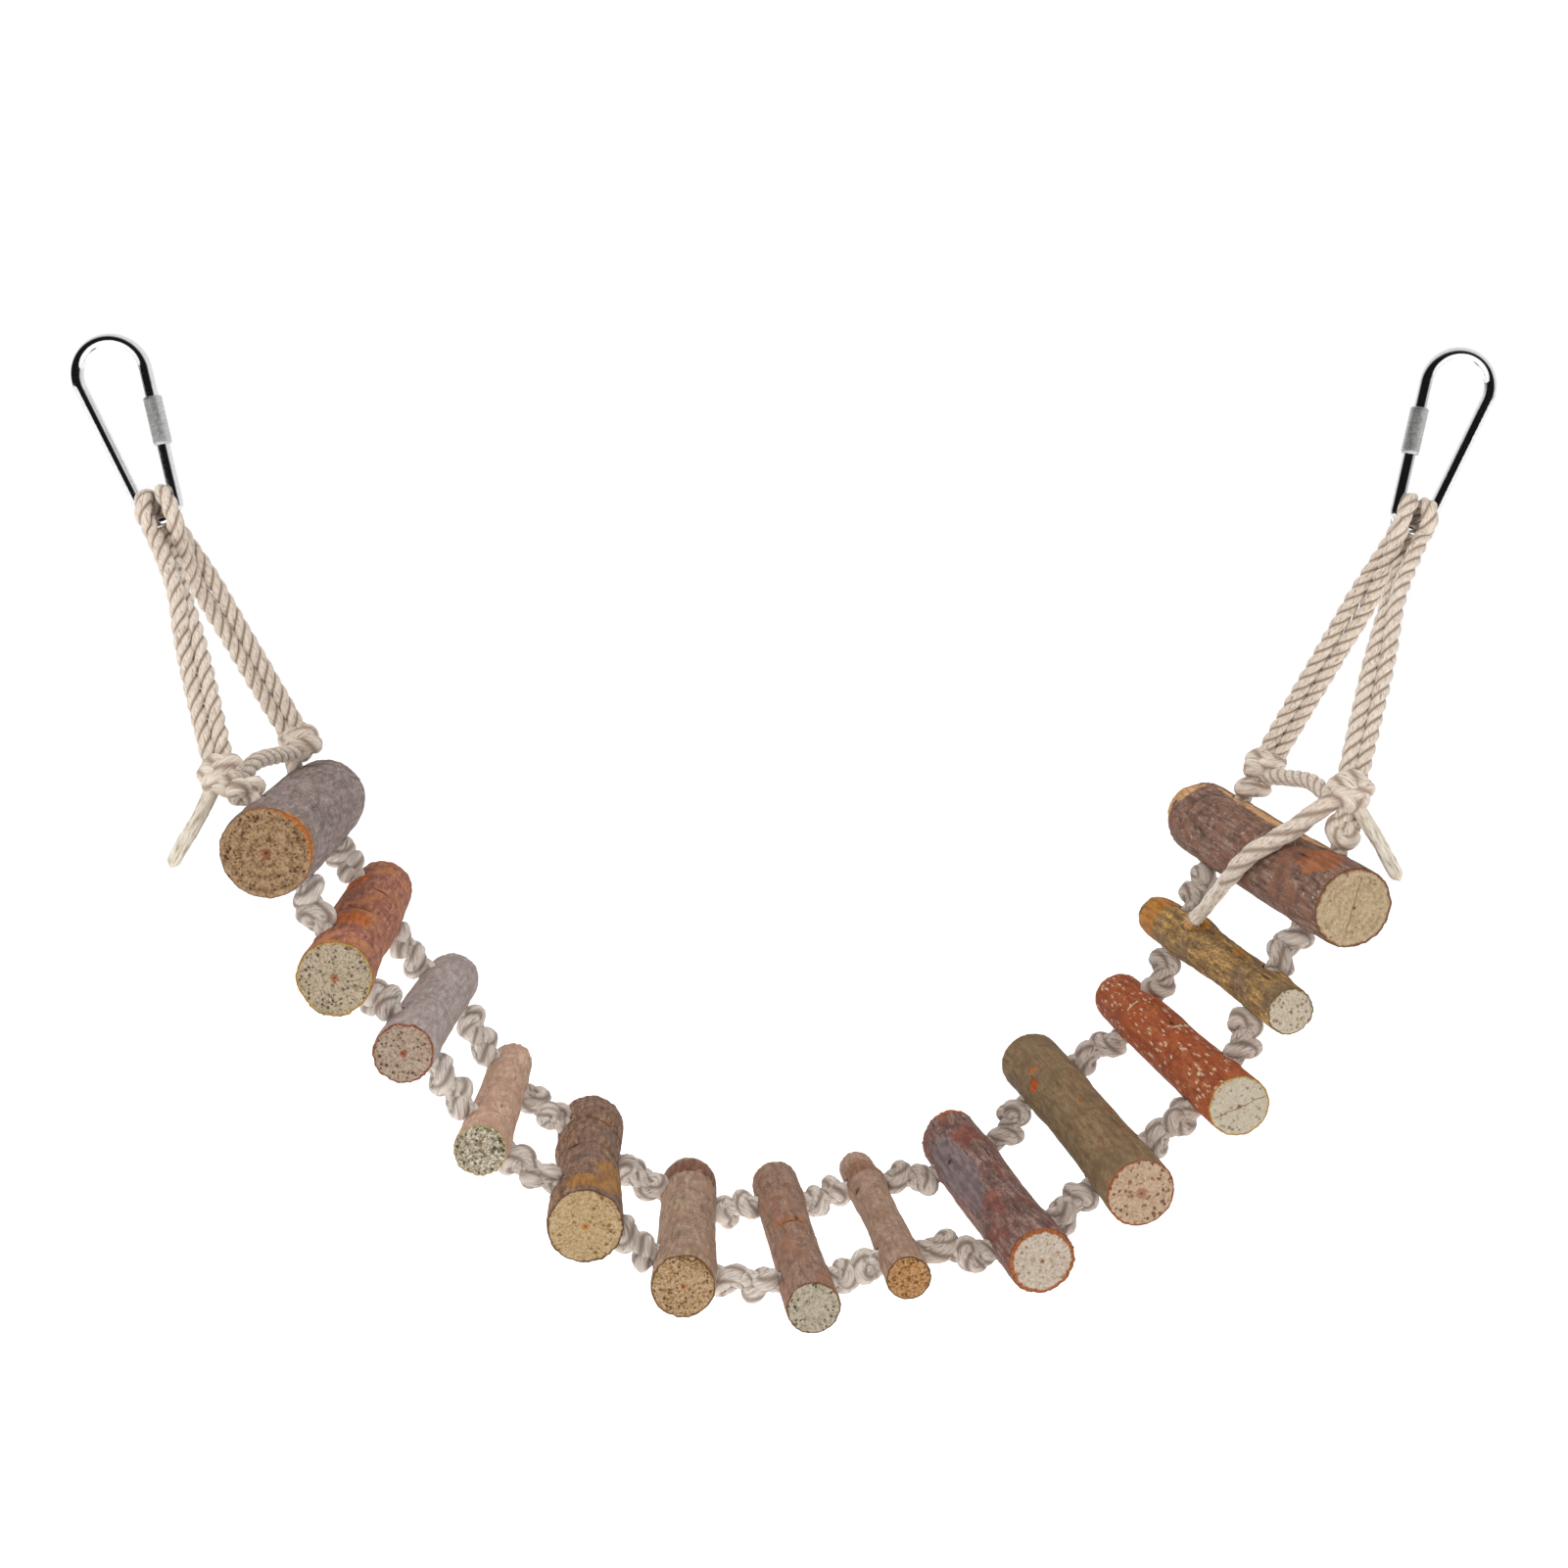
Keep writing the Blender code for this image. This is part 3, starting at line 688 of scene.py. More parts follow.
def make_lead(end, index, seed):
    """The rope from the rung's hole to the end knot, which has a knot of its own in three of the four."""
    number, way = end_rung(end), ENDS[end][0]
    side_name, side = SIDES[index]
    knot = knot_centre(end, index)
    out, inner = mouth(number, side, -way), v3(hole(number, side))
    stop = knot + (out - knot).normalized() * 2.0
    lead = [inner, v3(out), v3(stop)]
    if index == 0 or end == "right":
        size = (stop - out).length / 9.5, 1.1, 1.2
        line = overhand(v3(out.lerp(stop, 0.42)), v3(stop - out), 0.4 + index, size, -way)
        lead = [inner, v3(out - along(number) * -way * 0.8), *line, v3(stop)]
    route = smooth([Vector(point) for point in lead], 5)
    twist = {"lay": 12, "wobble": 0.05, "soft": 0.5}
    rope = rope_object("lead", route, [2.3] * len(route), rope_warm, phase=seed + 3, seed=seed + 5, **twist)
    straight = [v3(out.lerp(stop, share)) for share in (0, 0.3, 0.6, 1)]
    fuzz = fibre_mesh("fuzz", fuzz_on(straight, 2.2, 26, seed), 0.04, rope_warm)
    rope = joined(f"{end}_lead_rope_{side_name}", [rope, fuzz])
    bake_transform(rope)
    is_for(f"{end}_lead_{side_name}")


def make_crossing(end):
    """The rope along the rung between the two end knots."""
    front, back = knot_centre(end, 0), knot_centre(end, 1)
    dip, low = Vector((0, 0, -1.2)), Vector((ENDS[end][0] * 1.2, 0, -2.6))
    route = smooth([
        front + low * 0.6, front.lerp(back, 0.18) + dip + low * 0.5, front.lerp(back, 0.42) + dip * 0.4,
        front.lerp(back, 0.7) + dip, front.lerp(back, 0.88) + dip + low * 0.3, back + low * 0.6,
    ], 10)
    twist = {"lay": 13, "phase": 2, "wobble": 0.05, "seed": 77, "soft": 0.4}
    rope = rope_object("crossing", route, [2.2] * len(route), rope_warm, **twist)
    fuzz = fibre_mesh("fuzz", fuzz_on(route, 2.0, 40, 7), 0.04, rope_warm)
    rope = joined(f"{end}_crossing_rope", [rope, fuzz])
    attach(rope, f"rung_{end_rung(end) + 1:02d}")
    is_for(f"{end}_crossing")


def make_short_tail(end):
    """The short dipped end below the front knot, which runs to a point."""
    way = heading(-90 - 26 * ENDS[end][0]) * 0.94 + Vector((0, -0.34, 0))
    route = smooth([knot_centre(end, 0) + way * share for share in (2.0, 6.0, 12.0, 18.0, 22.0, 24.0)], 8)
    radii = np.interp(np.linspace(0, 1, len(route)), (0, 0.3, 0.8, 0.9, 1), (1.85, 1.85, 1.75, 1.25, 0.1))
    name = f"{end}_dipped_tail"
    rope = rope_object(name, route, radii, rope_dipped, step=0.3, lay=60, phase=1, wobble=0.06, seed=5)
    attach(rope, f"rung_{end_rung(end) + 1:02d}")
    is_for(f"{end}_tail")


def end_rung(end):
    return 0 if end == "left" else LAST


for end, first_seed in (("left", 50), ("right", 54)):
    for index, seed in ((0, first_seed), (1, first_seed + 1)):
        make_loop(end, index, seed)
        make_knot(end, index, seed)
        make_lead(end, index, seed)
    make_crossing(end)
    make_short_tail(end)


# from the middle of the last rung
LONG_TAIL = (
    (8.2, -23.8, 18.0), (5.0, -23.0, 15.9), (1.0, -20.5, 11.9), (-3.1, -18.2, 8.35), (-8.8, -13.2, 3.4),
    (-11.2, -5.8, -2.6), (-13.5, 2.5, -9.9), (-15.5, 7.8, -15.0), (-16.1, 9.2, -16.4),
)


def long_tail():
    """The right front knot's second end, draped over the last rung, with its last third dipped."""
    start = centre_of(LAST)
    route = [start + Vector(point) for point in LONG_TAIL]
    path = smooth(route, 12)
    at = np.linspace(0, 1, len(path))
    radii = np.interp(at, (0, 0.3, 0.6, 0.7, 0.88, 1), (2.4, 2.55, 2.4, 2.1, 1.95, 2.3))
    twist = {"around": 30, "lay": 24, "phase": 1.3, "wobble": 0.06, "seed": 8, "soft": 0.55}
    rope = rope_object("draped_tail", path, radii, rope_warm, **twist)
    rope.data.materials.append(rope_dipped)
    middle = np.array([tuple(face.center) for face in rope.data.polygons]) / MM
    line = np.array([v3(point) for point in path])
    nearest = np.argmin(((middle[:, None] - line[None, ::3]) ** 2).sum(-1), 1) * 3 / len(line)
    rope.data.polygons.foreach_set("material_index", (nearest > 0.66).astype(np.int32))
    random = np.random.default_rng(4)
    tip, way = v3(path[-1]), v3(path[-1] - path[-3])
    way /= np.linalg.norm(way)
    frays = []
    for _ in range(90):
        spread = random.normal(size=3) * 0.75
        size = random.uniform(1.5, 3.6)
        base = tip - way * 1.2 + random.normal(size=3) * 0.75
        shares = (0, 0), (0.4, 0.3), (0.7, 0.9), (1, 1.5)
        frays.append([base + way * size * ahead + spread * apart for ahead, apart in shares])
    fuzz = fibre_mesh("tail_fray", frays + fuzz_on(path[:50], 2.0, 40, 12, (0.8, 2.4)), 0.08, rope_warm)
    for piece in (rope, fuzz):
        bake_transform(piece)
    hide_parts("right_long_tail")


long_tail()

# ---------------------------------------------------------------- links


def link_slope():
    return asin((WIDE - NARROW) / LINK_CENTRES)


def link_world(end):
    centre = narrow_centre(end) + up_link(end) * LINK_CENTRES
    flip = Matrix.Rotation(0 if end == "left" else pi, 4, "Z")
    return Matrix.Translation(centre) @ Matrix.Rotation(radians(ENDS[end][1]), 4, "Y") @ flip


def arc(centre, radius, first, last, steps):
    return [centre + heading(first + (last - first) * k / steps) * radius for k in range(steps + 1)]


def leg_point(down):
    slope = link_slope()
    return heading(-degrees(slope)) * WIDE + Vector((-sin(slope), 0, -cos(slope))) * down


def chrome():
    s = Shader("chrome_wire", roughness=0.07, Metallic=1.0)
    dust = s.noise(s.place((1.5, 1.5, 1.5)), 3)
    base = s.ramp(dust, (0.3, colour(214, 214, 218)), (0.7, colour(236, 236, 238)))
    rough = s.node("MapRange", {0: dust, 1: 0.3, 2: 0.8, 3: 0.05, 4: 0.12})
    return s.finish(base, s.bump(s.noise(s.place((0.7, 0.7, 0.7)), 2), 0.12, 0.15), Roughness=rough)


def satin_steel():
    s = Shader("sleeve_satin", roughness=0.4, Metallic=1.0)
    rings = s.noise(s.place((0.25, 0.25, 9.0)), 2)
    spots = s.noise(s.place((1.6, 1.6, 1.6)), 4)
    base = s.ramp(s.plus(s.times(rings, 0.5), s.times(spots, 0.5)),
                  (0.35, colour(172, 172, 170)), (0.65, colour(226, 226, 224)))
    rough = s.node("MapRange", {0: spots, 1: 0.3, 2: 0.7, 3: 0.42, 4: 0.6})
    return s.finish(base, s.bump(rings, 0.35, 0.05), Roughness=rough)


chrome_wire, sleeve_satin = chrome(), satin_steel()


def swept(name, path, radii, material, around=32):
    """A round wire with a flat end at each side of the slot."""
    path = np.array(path, float)
    across, other = carried_frames(path)
    turn = np.arange(around) * tau / around
    points = np.concatenate([
        at + r * (np.cos(turn)[:, None] * a + np.sin(turn)[:, None] * b)
        for at, r, a, b in zip(path, radii, across, other)
    ])
    count = len(path)
    row, column = np.meshgrid(np.arange(count - 1), np.arange(around), indexing="ij")
    faces = tube_faces(row.ravel(), column.ravel(), around).tolist()
    faces += [tuple(reversed(range(around))), tuple((count - 1) * around + j for j in range(around))]
    return mesh_object(name, points, faces, [material], sharp=60)


def make_link(end):
    """The wire, from the slot's upper end, over the wide end, round the narrow one, to the slot's lower end."""
    slope = degrees(link_slope())
    wide = arc(Vector(), WIDE, -slope, 180 + slope, 64)
    narrow = arc(Vector((0, 0, -LINK_CENTRES)), NARROW, 180 + slope, 360 - slope, 44)
    own = [
        *[leg_point(down) for down in np.linspace(SLEEVE_PLACE - SLOT / 2, 0.6, 14)],
        *wide,
        *[wide[-1].lerp(narrow[0], k / 20) for k in range(1, 20)],
        *narrow,
        *[narrow[-1].lerp(leg_point(SLEEVE_PLACE + SLOT / 2), k / 10) for k in range(1, 11)],
    ]
    world = link_world(end)
    path = [v3(world @ point) for point in own]
    link = swept(f"{end}_wire_link", path, [WIRE / 2] * len(path), chrome_wire)
    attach(link, f"{end}_link")
    is_for(f"{end}_link")


def make_sleeve(end):
    half, inner, outer = SLEEVE / 2, SLEEVE_INNER / 2, SLEEVE_OUTER / 2
    lip = [(inner, 0.25), (inner + 0.12, 0), (outer - 0.42, 0), (outer - 0.16, 0.1), (outer, 0.38)]
    rings = [(outer - 0.012 * (k % 2), z) for k, z in enumerate(np.linspace(half - 0.9, 0.9 - half, 40))]
    profile = [(r, half - down) for r, down in lip] + rings + [(r, up - half) for r, up in reversed(lip)]
    around, count = 48, len(profile)
    turn = np.arange(around) * tau / around
    points = [(r * cos(t), r * sin(t), z) for r, z in profile for t in turn]
    row, column = np.meshgrid(np.arange(count), np.arange(around), indexing="ij")
    faces = tube_faces(row.ravel(), column.ravel(), around, rows=count)[:, [0, 3, 2, 1]]  # turned over
    sleeve = mesh_object(f"{end}_sleeve_nut", points, faces, [sleeve_satin], sharp=35)
    on_leg = Matrix.Translation(leg_point(SLEEVE_PLACE)) @ Matrix.Rotation(link_slope(), 4, "Y")
    put(sleeve, link_world(end) @ on_leg)
    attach(sleeve, f"{end}_sleeve")
    is_for(f"{end}_sleeve")


for end in ENDS:
    make_link(end)
    make_sleeve(end)

# ---------------------------------------------------------------- how each rung looks

# Places on a rung are mm from its middle towards the back end, and degrees from its top to the viewer's right.
# contrast: the bark's and the face's, by which their dark and light tones move away from the middle one
# tones, face: dark, middle and light of the bark and of the sawn ends
# blotch, accent, bare: the colours of broad patches, of smaller ones and of stripped wood
# relief: the bark's unevenness in mm, and its stretch along the branch
# lines: colour, share and density of the lines across the branch
# fleck: colour, cells to a mm, size, share and stretch of the small marks
# specks: colour, cells to a mm and share of the pores in the face
# rings: how many, and their depth of tone. zones: how many rings of dense pores
# pith, rim: colour and share of the radius at which they end or start. chips: mm lost along the face's edge
# crack: its angle in the face, and how far it reaches
# marks: kind, place, size along and round in mm, and depth or height in mm
# a crumble's place is followed by its depth into the face, its spread in radians, and its height
LOOKS = (
    dict(  # 1: mauve grey, scratched across, crumbly orange rim
        contrast=(1.3, 1.4), tones=((98, 84, 80), (139, 122, 117), (166, 150, 144)), blotch=(120, 98, 90),
        relief=(0.1, 0.5), lines=((184, 168, 160), 0.75, 1.5),
        fleck=((185, 170, 160), 0.5, 0.16, 0.25, 1.0),
        face=((113, 85, 60), (142, 114, 84), (160, 132, 100)), specks=((70, 46, 29), 1.13, 0.74),
        rings=(4, 0.7), zones=2.2, pith=((126, 74, 49), 0.15), rim=((188, 112, 53), 1.0), chips=0.55,
        bare=(196, 130, 80),
        marks=(
            ("knob", -8, 60, 9, 6, 0.35), ("knob", 18, -30, 12, 8, 0.3), ("bare", -40, 62, 1.6, 9, 0.2),
            ("crumble", -40, 52, 0.11, 1.1, 0.6), ("crease", -30, 0, 0.5, 0, 0.12),
        ),
    ),
    dict(  # 2: brick red with ring scars and a torn yellow lip
        contrast=(1.3, 1.3), tones=((120, 68, 56), (160, 101, 83), (188, 131, 106)),
        blotch=(196, 131, 77), relief=(0.09, 0.5), lines=((196, 140, 110), 0.3, 0.9),
        fleck=((205, 170, 150), 0.45, 0.15, 0.25, 1.0),
        face=((118, 102, 78), (158, 142, 121), (175, 159, 137)), specks=((70, 59, 40), 1.16, 0.74),
        rings=(5, 0.2), pith=((143, 81, 47), 0.15), rim=((181, 151, 84), 0.93), chips=0.5,
        accent=(205, 110, 44), bare=(212, 176, 96),
        marks=(
            ("crease", -29, 0, 0.8, 0, 0.4), ("crease", -7, 0, 0.7, 0, 0.3),
            ("slot", -7.5, 8, 1.0, 4.5, 0.6), ("crease", 9, 0, 0.6, 0, 0.25),
            ("slot", 10, 30, 0.8, 3.5, 0.4), ("knob", -16, 10, 6, 6, 0.4), ("accent", -17, 0, 6, 7, 0),
            ("accent", 20, -40, 9, 6, 0), ("lip", -40, 190, 1.6, 5, 1.3),
        ),
    ),
    dict(  # 3: smooth grey mauve with an orange brown rim
        contrast=(1.1, 1.5), tones=((139, 124, 120), (170, 156, 151), (193, 178, 172)),
        blotch=(157, 138, 132), relief=(0.05, 0.4), lines=((120, 104, 98), 0.25, 0.5),
        fleck=((96, 76, 66), 0.28, 0.16, 0.25, 1.0),
        face=((131, 110, 92), (153, 132, 113), (166, 146, 129)), specks=((77, 54, 42), 1.13, 0.68),
        rings=(5, 0.15), pith=((137, 66, 40), 0.17), rim=((143, 83, 50), 0.92), chips=0.7,
        marks=(
            ("crease", -12, 0, 0.9, 0, 0.2), ("slot", -13, 60, 0.7, 3.0, 0.35),
            ("knob", -2, -20, 8, 6, 0.3), ("slot", 3, 0, 0.6, 0.7, 0.3),
        ),
    ),
    dict(  # 4: pinkish tan with pale scratches and a coarse speckled face
        contrast=(1.1, 1.3), tones=((161, 125, 105), (196, 159, 137), (220, 186, 161)),
        blotch=(174, 137, 114), relief=(0.06, 0.3), lines=((214, 186, 164), 0.5, 0.35),
        fleck=((214, 190, 170), 0.4, 0.14, 0.3, 0.3),
        face=((91, 86, 55), (146, 134, 105), (189, 178, 163)), specks=((50, 43, 27), 1.01, 0.95),
        rings=(4, 0.15), pith=((141, 104, 71), 0.12), rim=((172, 159, 100), 0.94), chips=0.9,
        marks=(
            ("slot", -22, 30, 3.0, 0.4, 0.2), ("slot", 6, 40, 4.0, 0.4, 0.2), ("knob", 10, 0, 10, 5, 0.3),
            ("crease", -28, 0, 0.8, 0, 0.2),
        ),
    ),
    dict(  # 5: knobbly dark brown with an ochre patch
        contrast=(1.1, 1.3), tones=((86, 64, 53), (136, 103, 82), (180, 144, 116)), blotch=(118, 96, 88),
        relief=(0.22, 0.7), lines=((78, 60, 52), 0.3, 0.6), fleck=((150, 126, 104), 0.4, 0.18, 0.3, 0.8),
        face=((141, 112, 73), (166, 141, 102), (181, 158, 124)), specks=((112, 80, 43), 0.97, 0.34),
        rings=(7, 0.3), pith=((169, 108, 48), 0.14), rim=((109, 76, 42), 0.95), chips=0.6,
        accent=(178, 126, 60),
        marks=(
            ("knob", 6, 20, 6, 6, 1.1), ("knob", 12, -70, 5, 5, 0.9), ("crease", 0, 0, 1.6, 0, 0.6),
            ("crease", 22, 0, 1.1, 0, 0.6), ("knob", 30, 40, 6, 6, 0.9), ("knob", -30, -20, 8, 7, 0.5),
            ("accent", -20, 55, 11, 6, 0), ("accent", -33, 10, 5, 7, 0), ("slot", 21, 45, 1.2, 4, 0.8),
            ("slot", 1, -25, 0.9, 4, 0.6),
        ),
    ),
    dict(  # 6: brown grey with a dark ring near the back
        contrast=(1.1, 1.3), tones=((124, 99, 83), (163, 136, 115), (190, 163, 140)),
        blotch=(172, 133, 106), relief=(0.08, 0.35), lines=((110, 90, 78), 0.25, 0.5),
        fleck=((184, 160, 140), 0.7, 0.15, 0.4, 0.45),
        face=((124, 88, 51), (158, 128, 90), (177, 151, 120)), specks=((83, 53, 24), 1.27, 0.95),
        rings=(6, 0.2), pith=((150, 95, 44), 0.12), rim=((120, 83, 46), 0.94), chips=0.5,
        accent=(122, 72, 52),
        marks=(
            ("crease", 28, 0, 0.8, 0, 0.55), ("slot", 28, -10, 0.8, 6, 0.5), ("accent", 33, 0, 5, 20, 0),
            ("slot", -21, 70, 1.1, 1.1, 0.5), ("slot", -26, 78, 0.8, 0.9, 0.4),
            ("knob", 5, -30, 10, 6, 0.4), ("knob", 31, 10, 5, 9, 0.4),
        ),
    ),
    dict(  # 7: reddish brown with a cross scar and ringed holes in the face
        contrast=(1.0, 1.0), tones=((109, 81, 68), (146, 115, 97), (173, 145, 126)),
        blotch=(159, 111, 86), relief=(0.09, 0.35), lines=((186, 156, 136), 0.3, 0.4),
        fleck=((192, 166, 146), 0.6, 0.15, 0.35, 0.5),
        face=((125, 114, 94), (160, 149, 129), (180, 168, 151)), specks=((62, 60, 44), 1.2, 0.7),
        rings=(3, 0.4), pith=((169, 163, 143), 0.2), rim=((125, 86, 60), 0.93), chips=0.5,
        accent=(176, 120, 86),
        marks=(
            ("crease", -3, 0, 0.8, 0, 0.35), ("slot", -3, 0, 0.8, 5, 0.5),
            ("slot", -1, 10, 3.0, 0.8, 0.5), ("knob", -4, 5, 4, 5, 0.7), ("accent", -2, 0, 4, 5, 0),
            ("knob", 26, 20, 7, 7, 0.4), ("crease", 33, 0, 0.6, 0, 0.2),
        ),
    ),
    dict(  # 8: thin tan pink branch
        contrast=(1.0, 1.4), tones=((129, 99, 81), (165, 135, 115), (188, 160, 139)),
        blotch=(144, 111, 88), relief=(0.07, 0.35), lines=((198, 172, 152), 0.3, 0.4),
        fleck=((206, 184, 166), 0.5, 0.14, 0.3, 0.5),
        face=((123, 79, 38), (157, 115, 71), (175, 136, 93)), specks=((88, 53, 21), 1.27, 0.68),
        rings=(4, 0.25), pith=((126, 77, 37), 0.15), rim=((99, 66, 37), 0.93), chips=0.4,
        accent=(150, 104, 78),
        marks=(
            ("knob", 22, 10, 6, 6, 1.0), ("slot", 14, -60, 1.4, 1.6, 0.5),
            ("crease", 18, 0, 0.8, 0, 0.35), ("knob", -10, 30, 8, 5, 0.35), ("accent", 26, 0, 6, 8, 0),
            ("crease", -24, 0, 0.6, 0, 0.2),
        ),
    ),
    dict(  # 9: purple brown streaks, thick crumbly orange rim
        contrast=(1.2, 1.4), tones=((81, 58, 52), (123, 94, 85), (161, 133, 122)), blotch=(140, 73, 58),
        relief=(0.16, 0.22), lines=((142, 120, 116), 0.25, 0.5),
        fleck=((170, 150, 144), 0.5, 0.16, 0.35, 0.3),
        face=((159, 140, 120), (176, 161, 144), (186, 174, 159)), specks=((141, 107, 77), 0.97, 0.54),
        rings=(6, 0.25), pith=((148, 101, 69), 0.1), rim=((164, 96, 55), 0.86), chips=1.0,
        accent=(140, 124, 126), bare=(184, 108, 62),
        marks=(
            ("accent", 8, -62, 24, 5.5, 0), ("slot", 14, -60, 1.5, 1.5, -0.4),
            ("slot", 36, 20, 2.4, 1.0, 0.8), ("knob", 24, 0, 7, 7, 0.5), ("slot", -12, 30, 9, 0.45, 0.3),
            ("slot", 10, 12, 8, 0.4, 0.3), ("slot", -25, -15, 7, 0.4, 0.3), ("lip", 40, 0, 1.6, 6, 1.0),
        ),
    ),
    dict(  # 10: smooth olive khaki with a node, orange tears at the holes
        contrast=(1.15, 1.15), tones=((104, 83, 58), (131, 107, 77), (150, 125, 94)),
        blotch=(120, 100, 75), relief=(0.06, 0.3), lines=((104, 84, 60), 0.22, 0.4),
        fleck=((188, 96, 50), 0.12, 0.2, 0.35, 1.0),
        face=((148, 119, 93), (168, 142, 116), (181, 158, 135)), specks=((102, 58, 35), 0.97, 0.81),
        rings=(3, 0.12), pith=((142, 95, 69), 0.22), rim=((157, 78, 37), 0.94), chips=0.35,
        bare=(190, 92, 40),
        marks=(
            ("crease", 19, 0, 0.7, 0, 0.5), ("knob", 16, 0, 5, 30, 0.45),
            ("bare", 17, -68, 3.0, 1.8, 0.35), ("bare", 28, 50, 1.1, 1.8, 0.3),
            ("bare", -22, 72, 2.4, 1.5, 0.4), ("bare", -4, -20, 1.6, 0.5, 0.15),
            ("bare", -9, 26, 0.4, 2.4, 0.15), ("slot", 8, -30, 5, 0.4, 0.25),
            ("slot", -18, 10, 6, 0.35, 0.2), ("crease", -10, 0, 0.6, 0, 0.2),
        ),
    ),
    dict(  # 11: orange red with white dashes
        contrast=(1.2, 1.2), tones=((123, 57, 29), (155, 82, 49), (174, 102, 61)), blotch=(164, 78, 35),
        relief=(0.08, 0.3), lines=((150, 66, 40), 0.2, 0.5),
        fleck=((212, 190, 164), 0.85, 0.36, 0.75, 0.34),
        face=((159, 145, 125), (176, 163, 143), (183, 172, 153)), specks=((120, 109, 86), 1.05, 0.47),
        rings=(4, 0.15), pith=((128, 83, 45), 0.1), rim=((184, 149, 79), 0.93), chips=0.4,
        crack=(62, 0.95),
        marks=(
            ("slot", 0, -8, 2.6, 0.7, 0.5), ("slot", 3, 4, 2.0, 0.6, 0.4), ("pale", -3, -2, 0.6, 2.6, 0),
            ("pale", -20, 30, 0.5, 3.0, 0), ("pale", 18, -40, 0.6, 2.4, 0),
            ("slot", 26, 60, 1.2, 1.2, 0.4), ("knob", 10, 0, 9, 8, 0.35), ("pale", -2, 16, 1.4, 0.5, 0),
        ),
    ),
    dict(  # 12: mottled yellow brown, bare orange patch under the long tail
        contrast=(1.15, 1.5), tones=((93, 71, 46), (149, 117, 75), (211, 167, 96)), blotch=(113, 94, 77),
        relief=(0.18, 0.5), lines=((84, 68, 46), 0.3, 0.8), fleck=((176, 146, 78), 0.8, 0.3, 0.4, 0.6),
        face=((157, 142, 121), (176, 162, 141), (184, 172, 154)), specks=((120, 96, 77), 1.13, 0.74),
        rings=(3, 0.12), pith=((137, 111, 84), 0.12), rim=((123, 102, 58), 0.93), chips=0.6,
        accent=(192, 126, 54), bare=(208, 146, 64),
        marks=(
            ("bare", 13, -6, 5.0, 3.6, 0.35), ("slot", 12, -8, 0.8, 2.0, 0.9),
            ("accent", 34, 0, 5.5, 20, 0), ("accent", -12, 10, 3.0, 3.5, 0), ("accent", 8, 60, 3, 3, 0),
            ("knob", 16, 40, 5, 5, 0.9), ("knob", -28, 60, 4, 4, 0.8), ("crease", 8, 0, 1.1, 0, 0.4),
            ("crease", -24, 0, 0.8, 0, 0.3), ("slot", -27, 60, 1.0, 1.6, 0.6),
            ("slot", -30, -20, 4, 0.5, 0.4),
        ),
    ),
    dict(  # 13: dark red brown with small white dots
        contrast=(1.3, 0.8), tones=((84, 63, 54), (127, 98, 84), (158, 127, 110)), blotch=(140, 93, 71),
        relief=(0.1, 0.35), lines=((92, 64, 56), 0.3, 0.5), fleck=((206, 186, 170), 0.42, 0.2, 0.5, 1.0),
        face=((137, 115, 86), (166, 146, 115), (184, 165, 136)), specks=((128, 100, 70), 1.3, 0.12),
        rings=(5.5, 0.6), pith=((137, 103, 68), 0.07), rim=((133, 87, 59), 0.93), chips=0.5,
        crack=(104, 0.85), accent=(170, 104, 66), bare=(214, 166, 118),
        marks=(
            ("bare", 10, 8, 27, 2.3, 0.5), ("bare", -17, 14, 7, 2.0, 0.4),
            ("bare", 38, -30, 1.8, 5, 0.35), ("accent", -30, -20, 7, 6, 0),
            ("slot", -24, -30, 4, 0.5, 0.25), ("knob", 20, -20, 9, 8, 0.5),
            ("crease", 30, 0, 0.9, 0, 0.3), ("lip", 40, -60, 1.6, 5, 1.1),
        ),
    ),
)


def tones_of(look, key, share):
    """The look's dark, middle and light colours, with the outer two moved away from the middle one."""
    middle = look[key][1]
    return [colour(*(round(m + (c - m) * share) for m, c in zip(middle, tone))) for tone in look[key]]


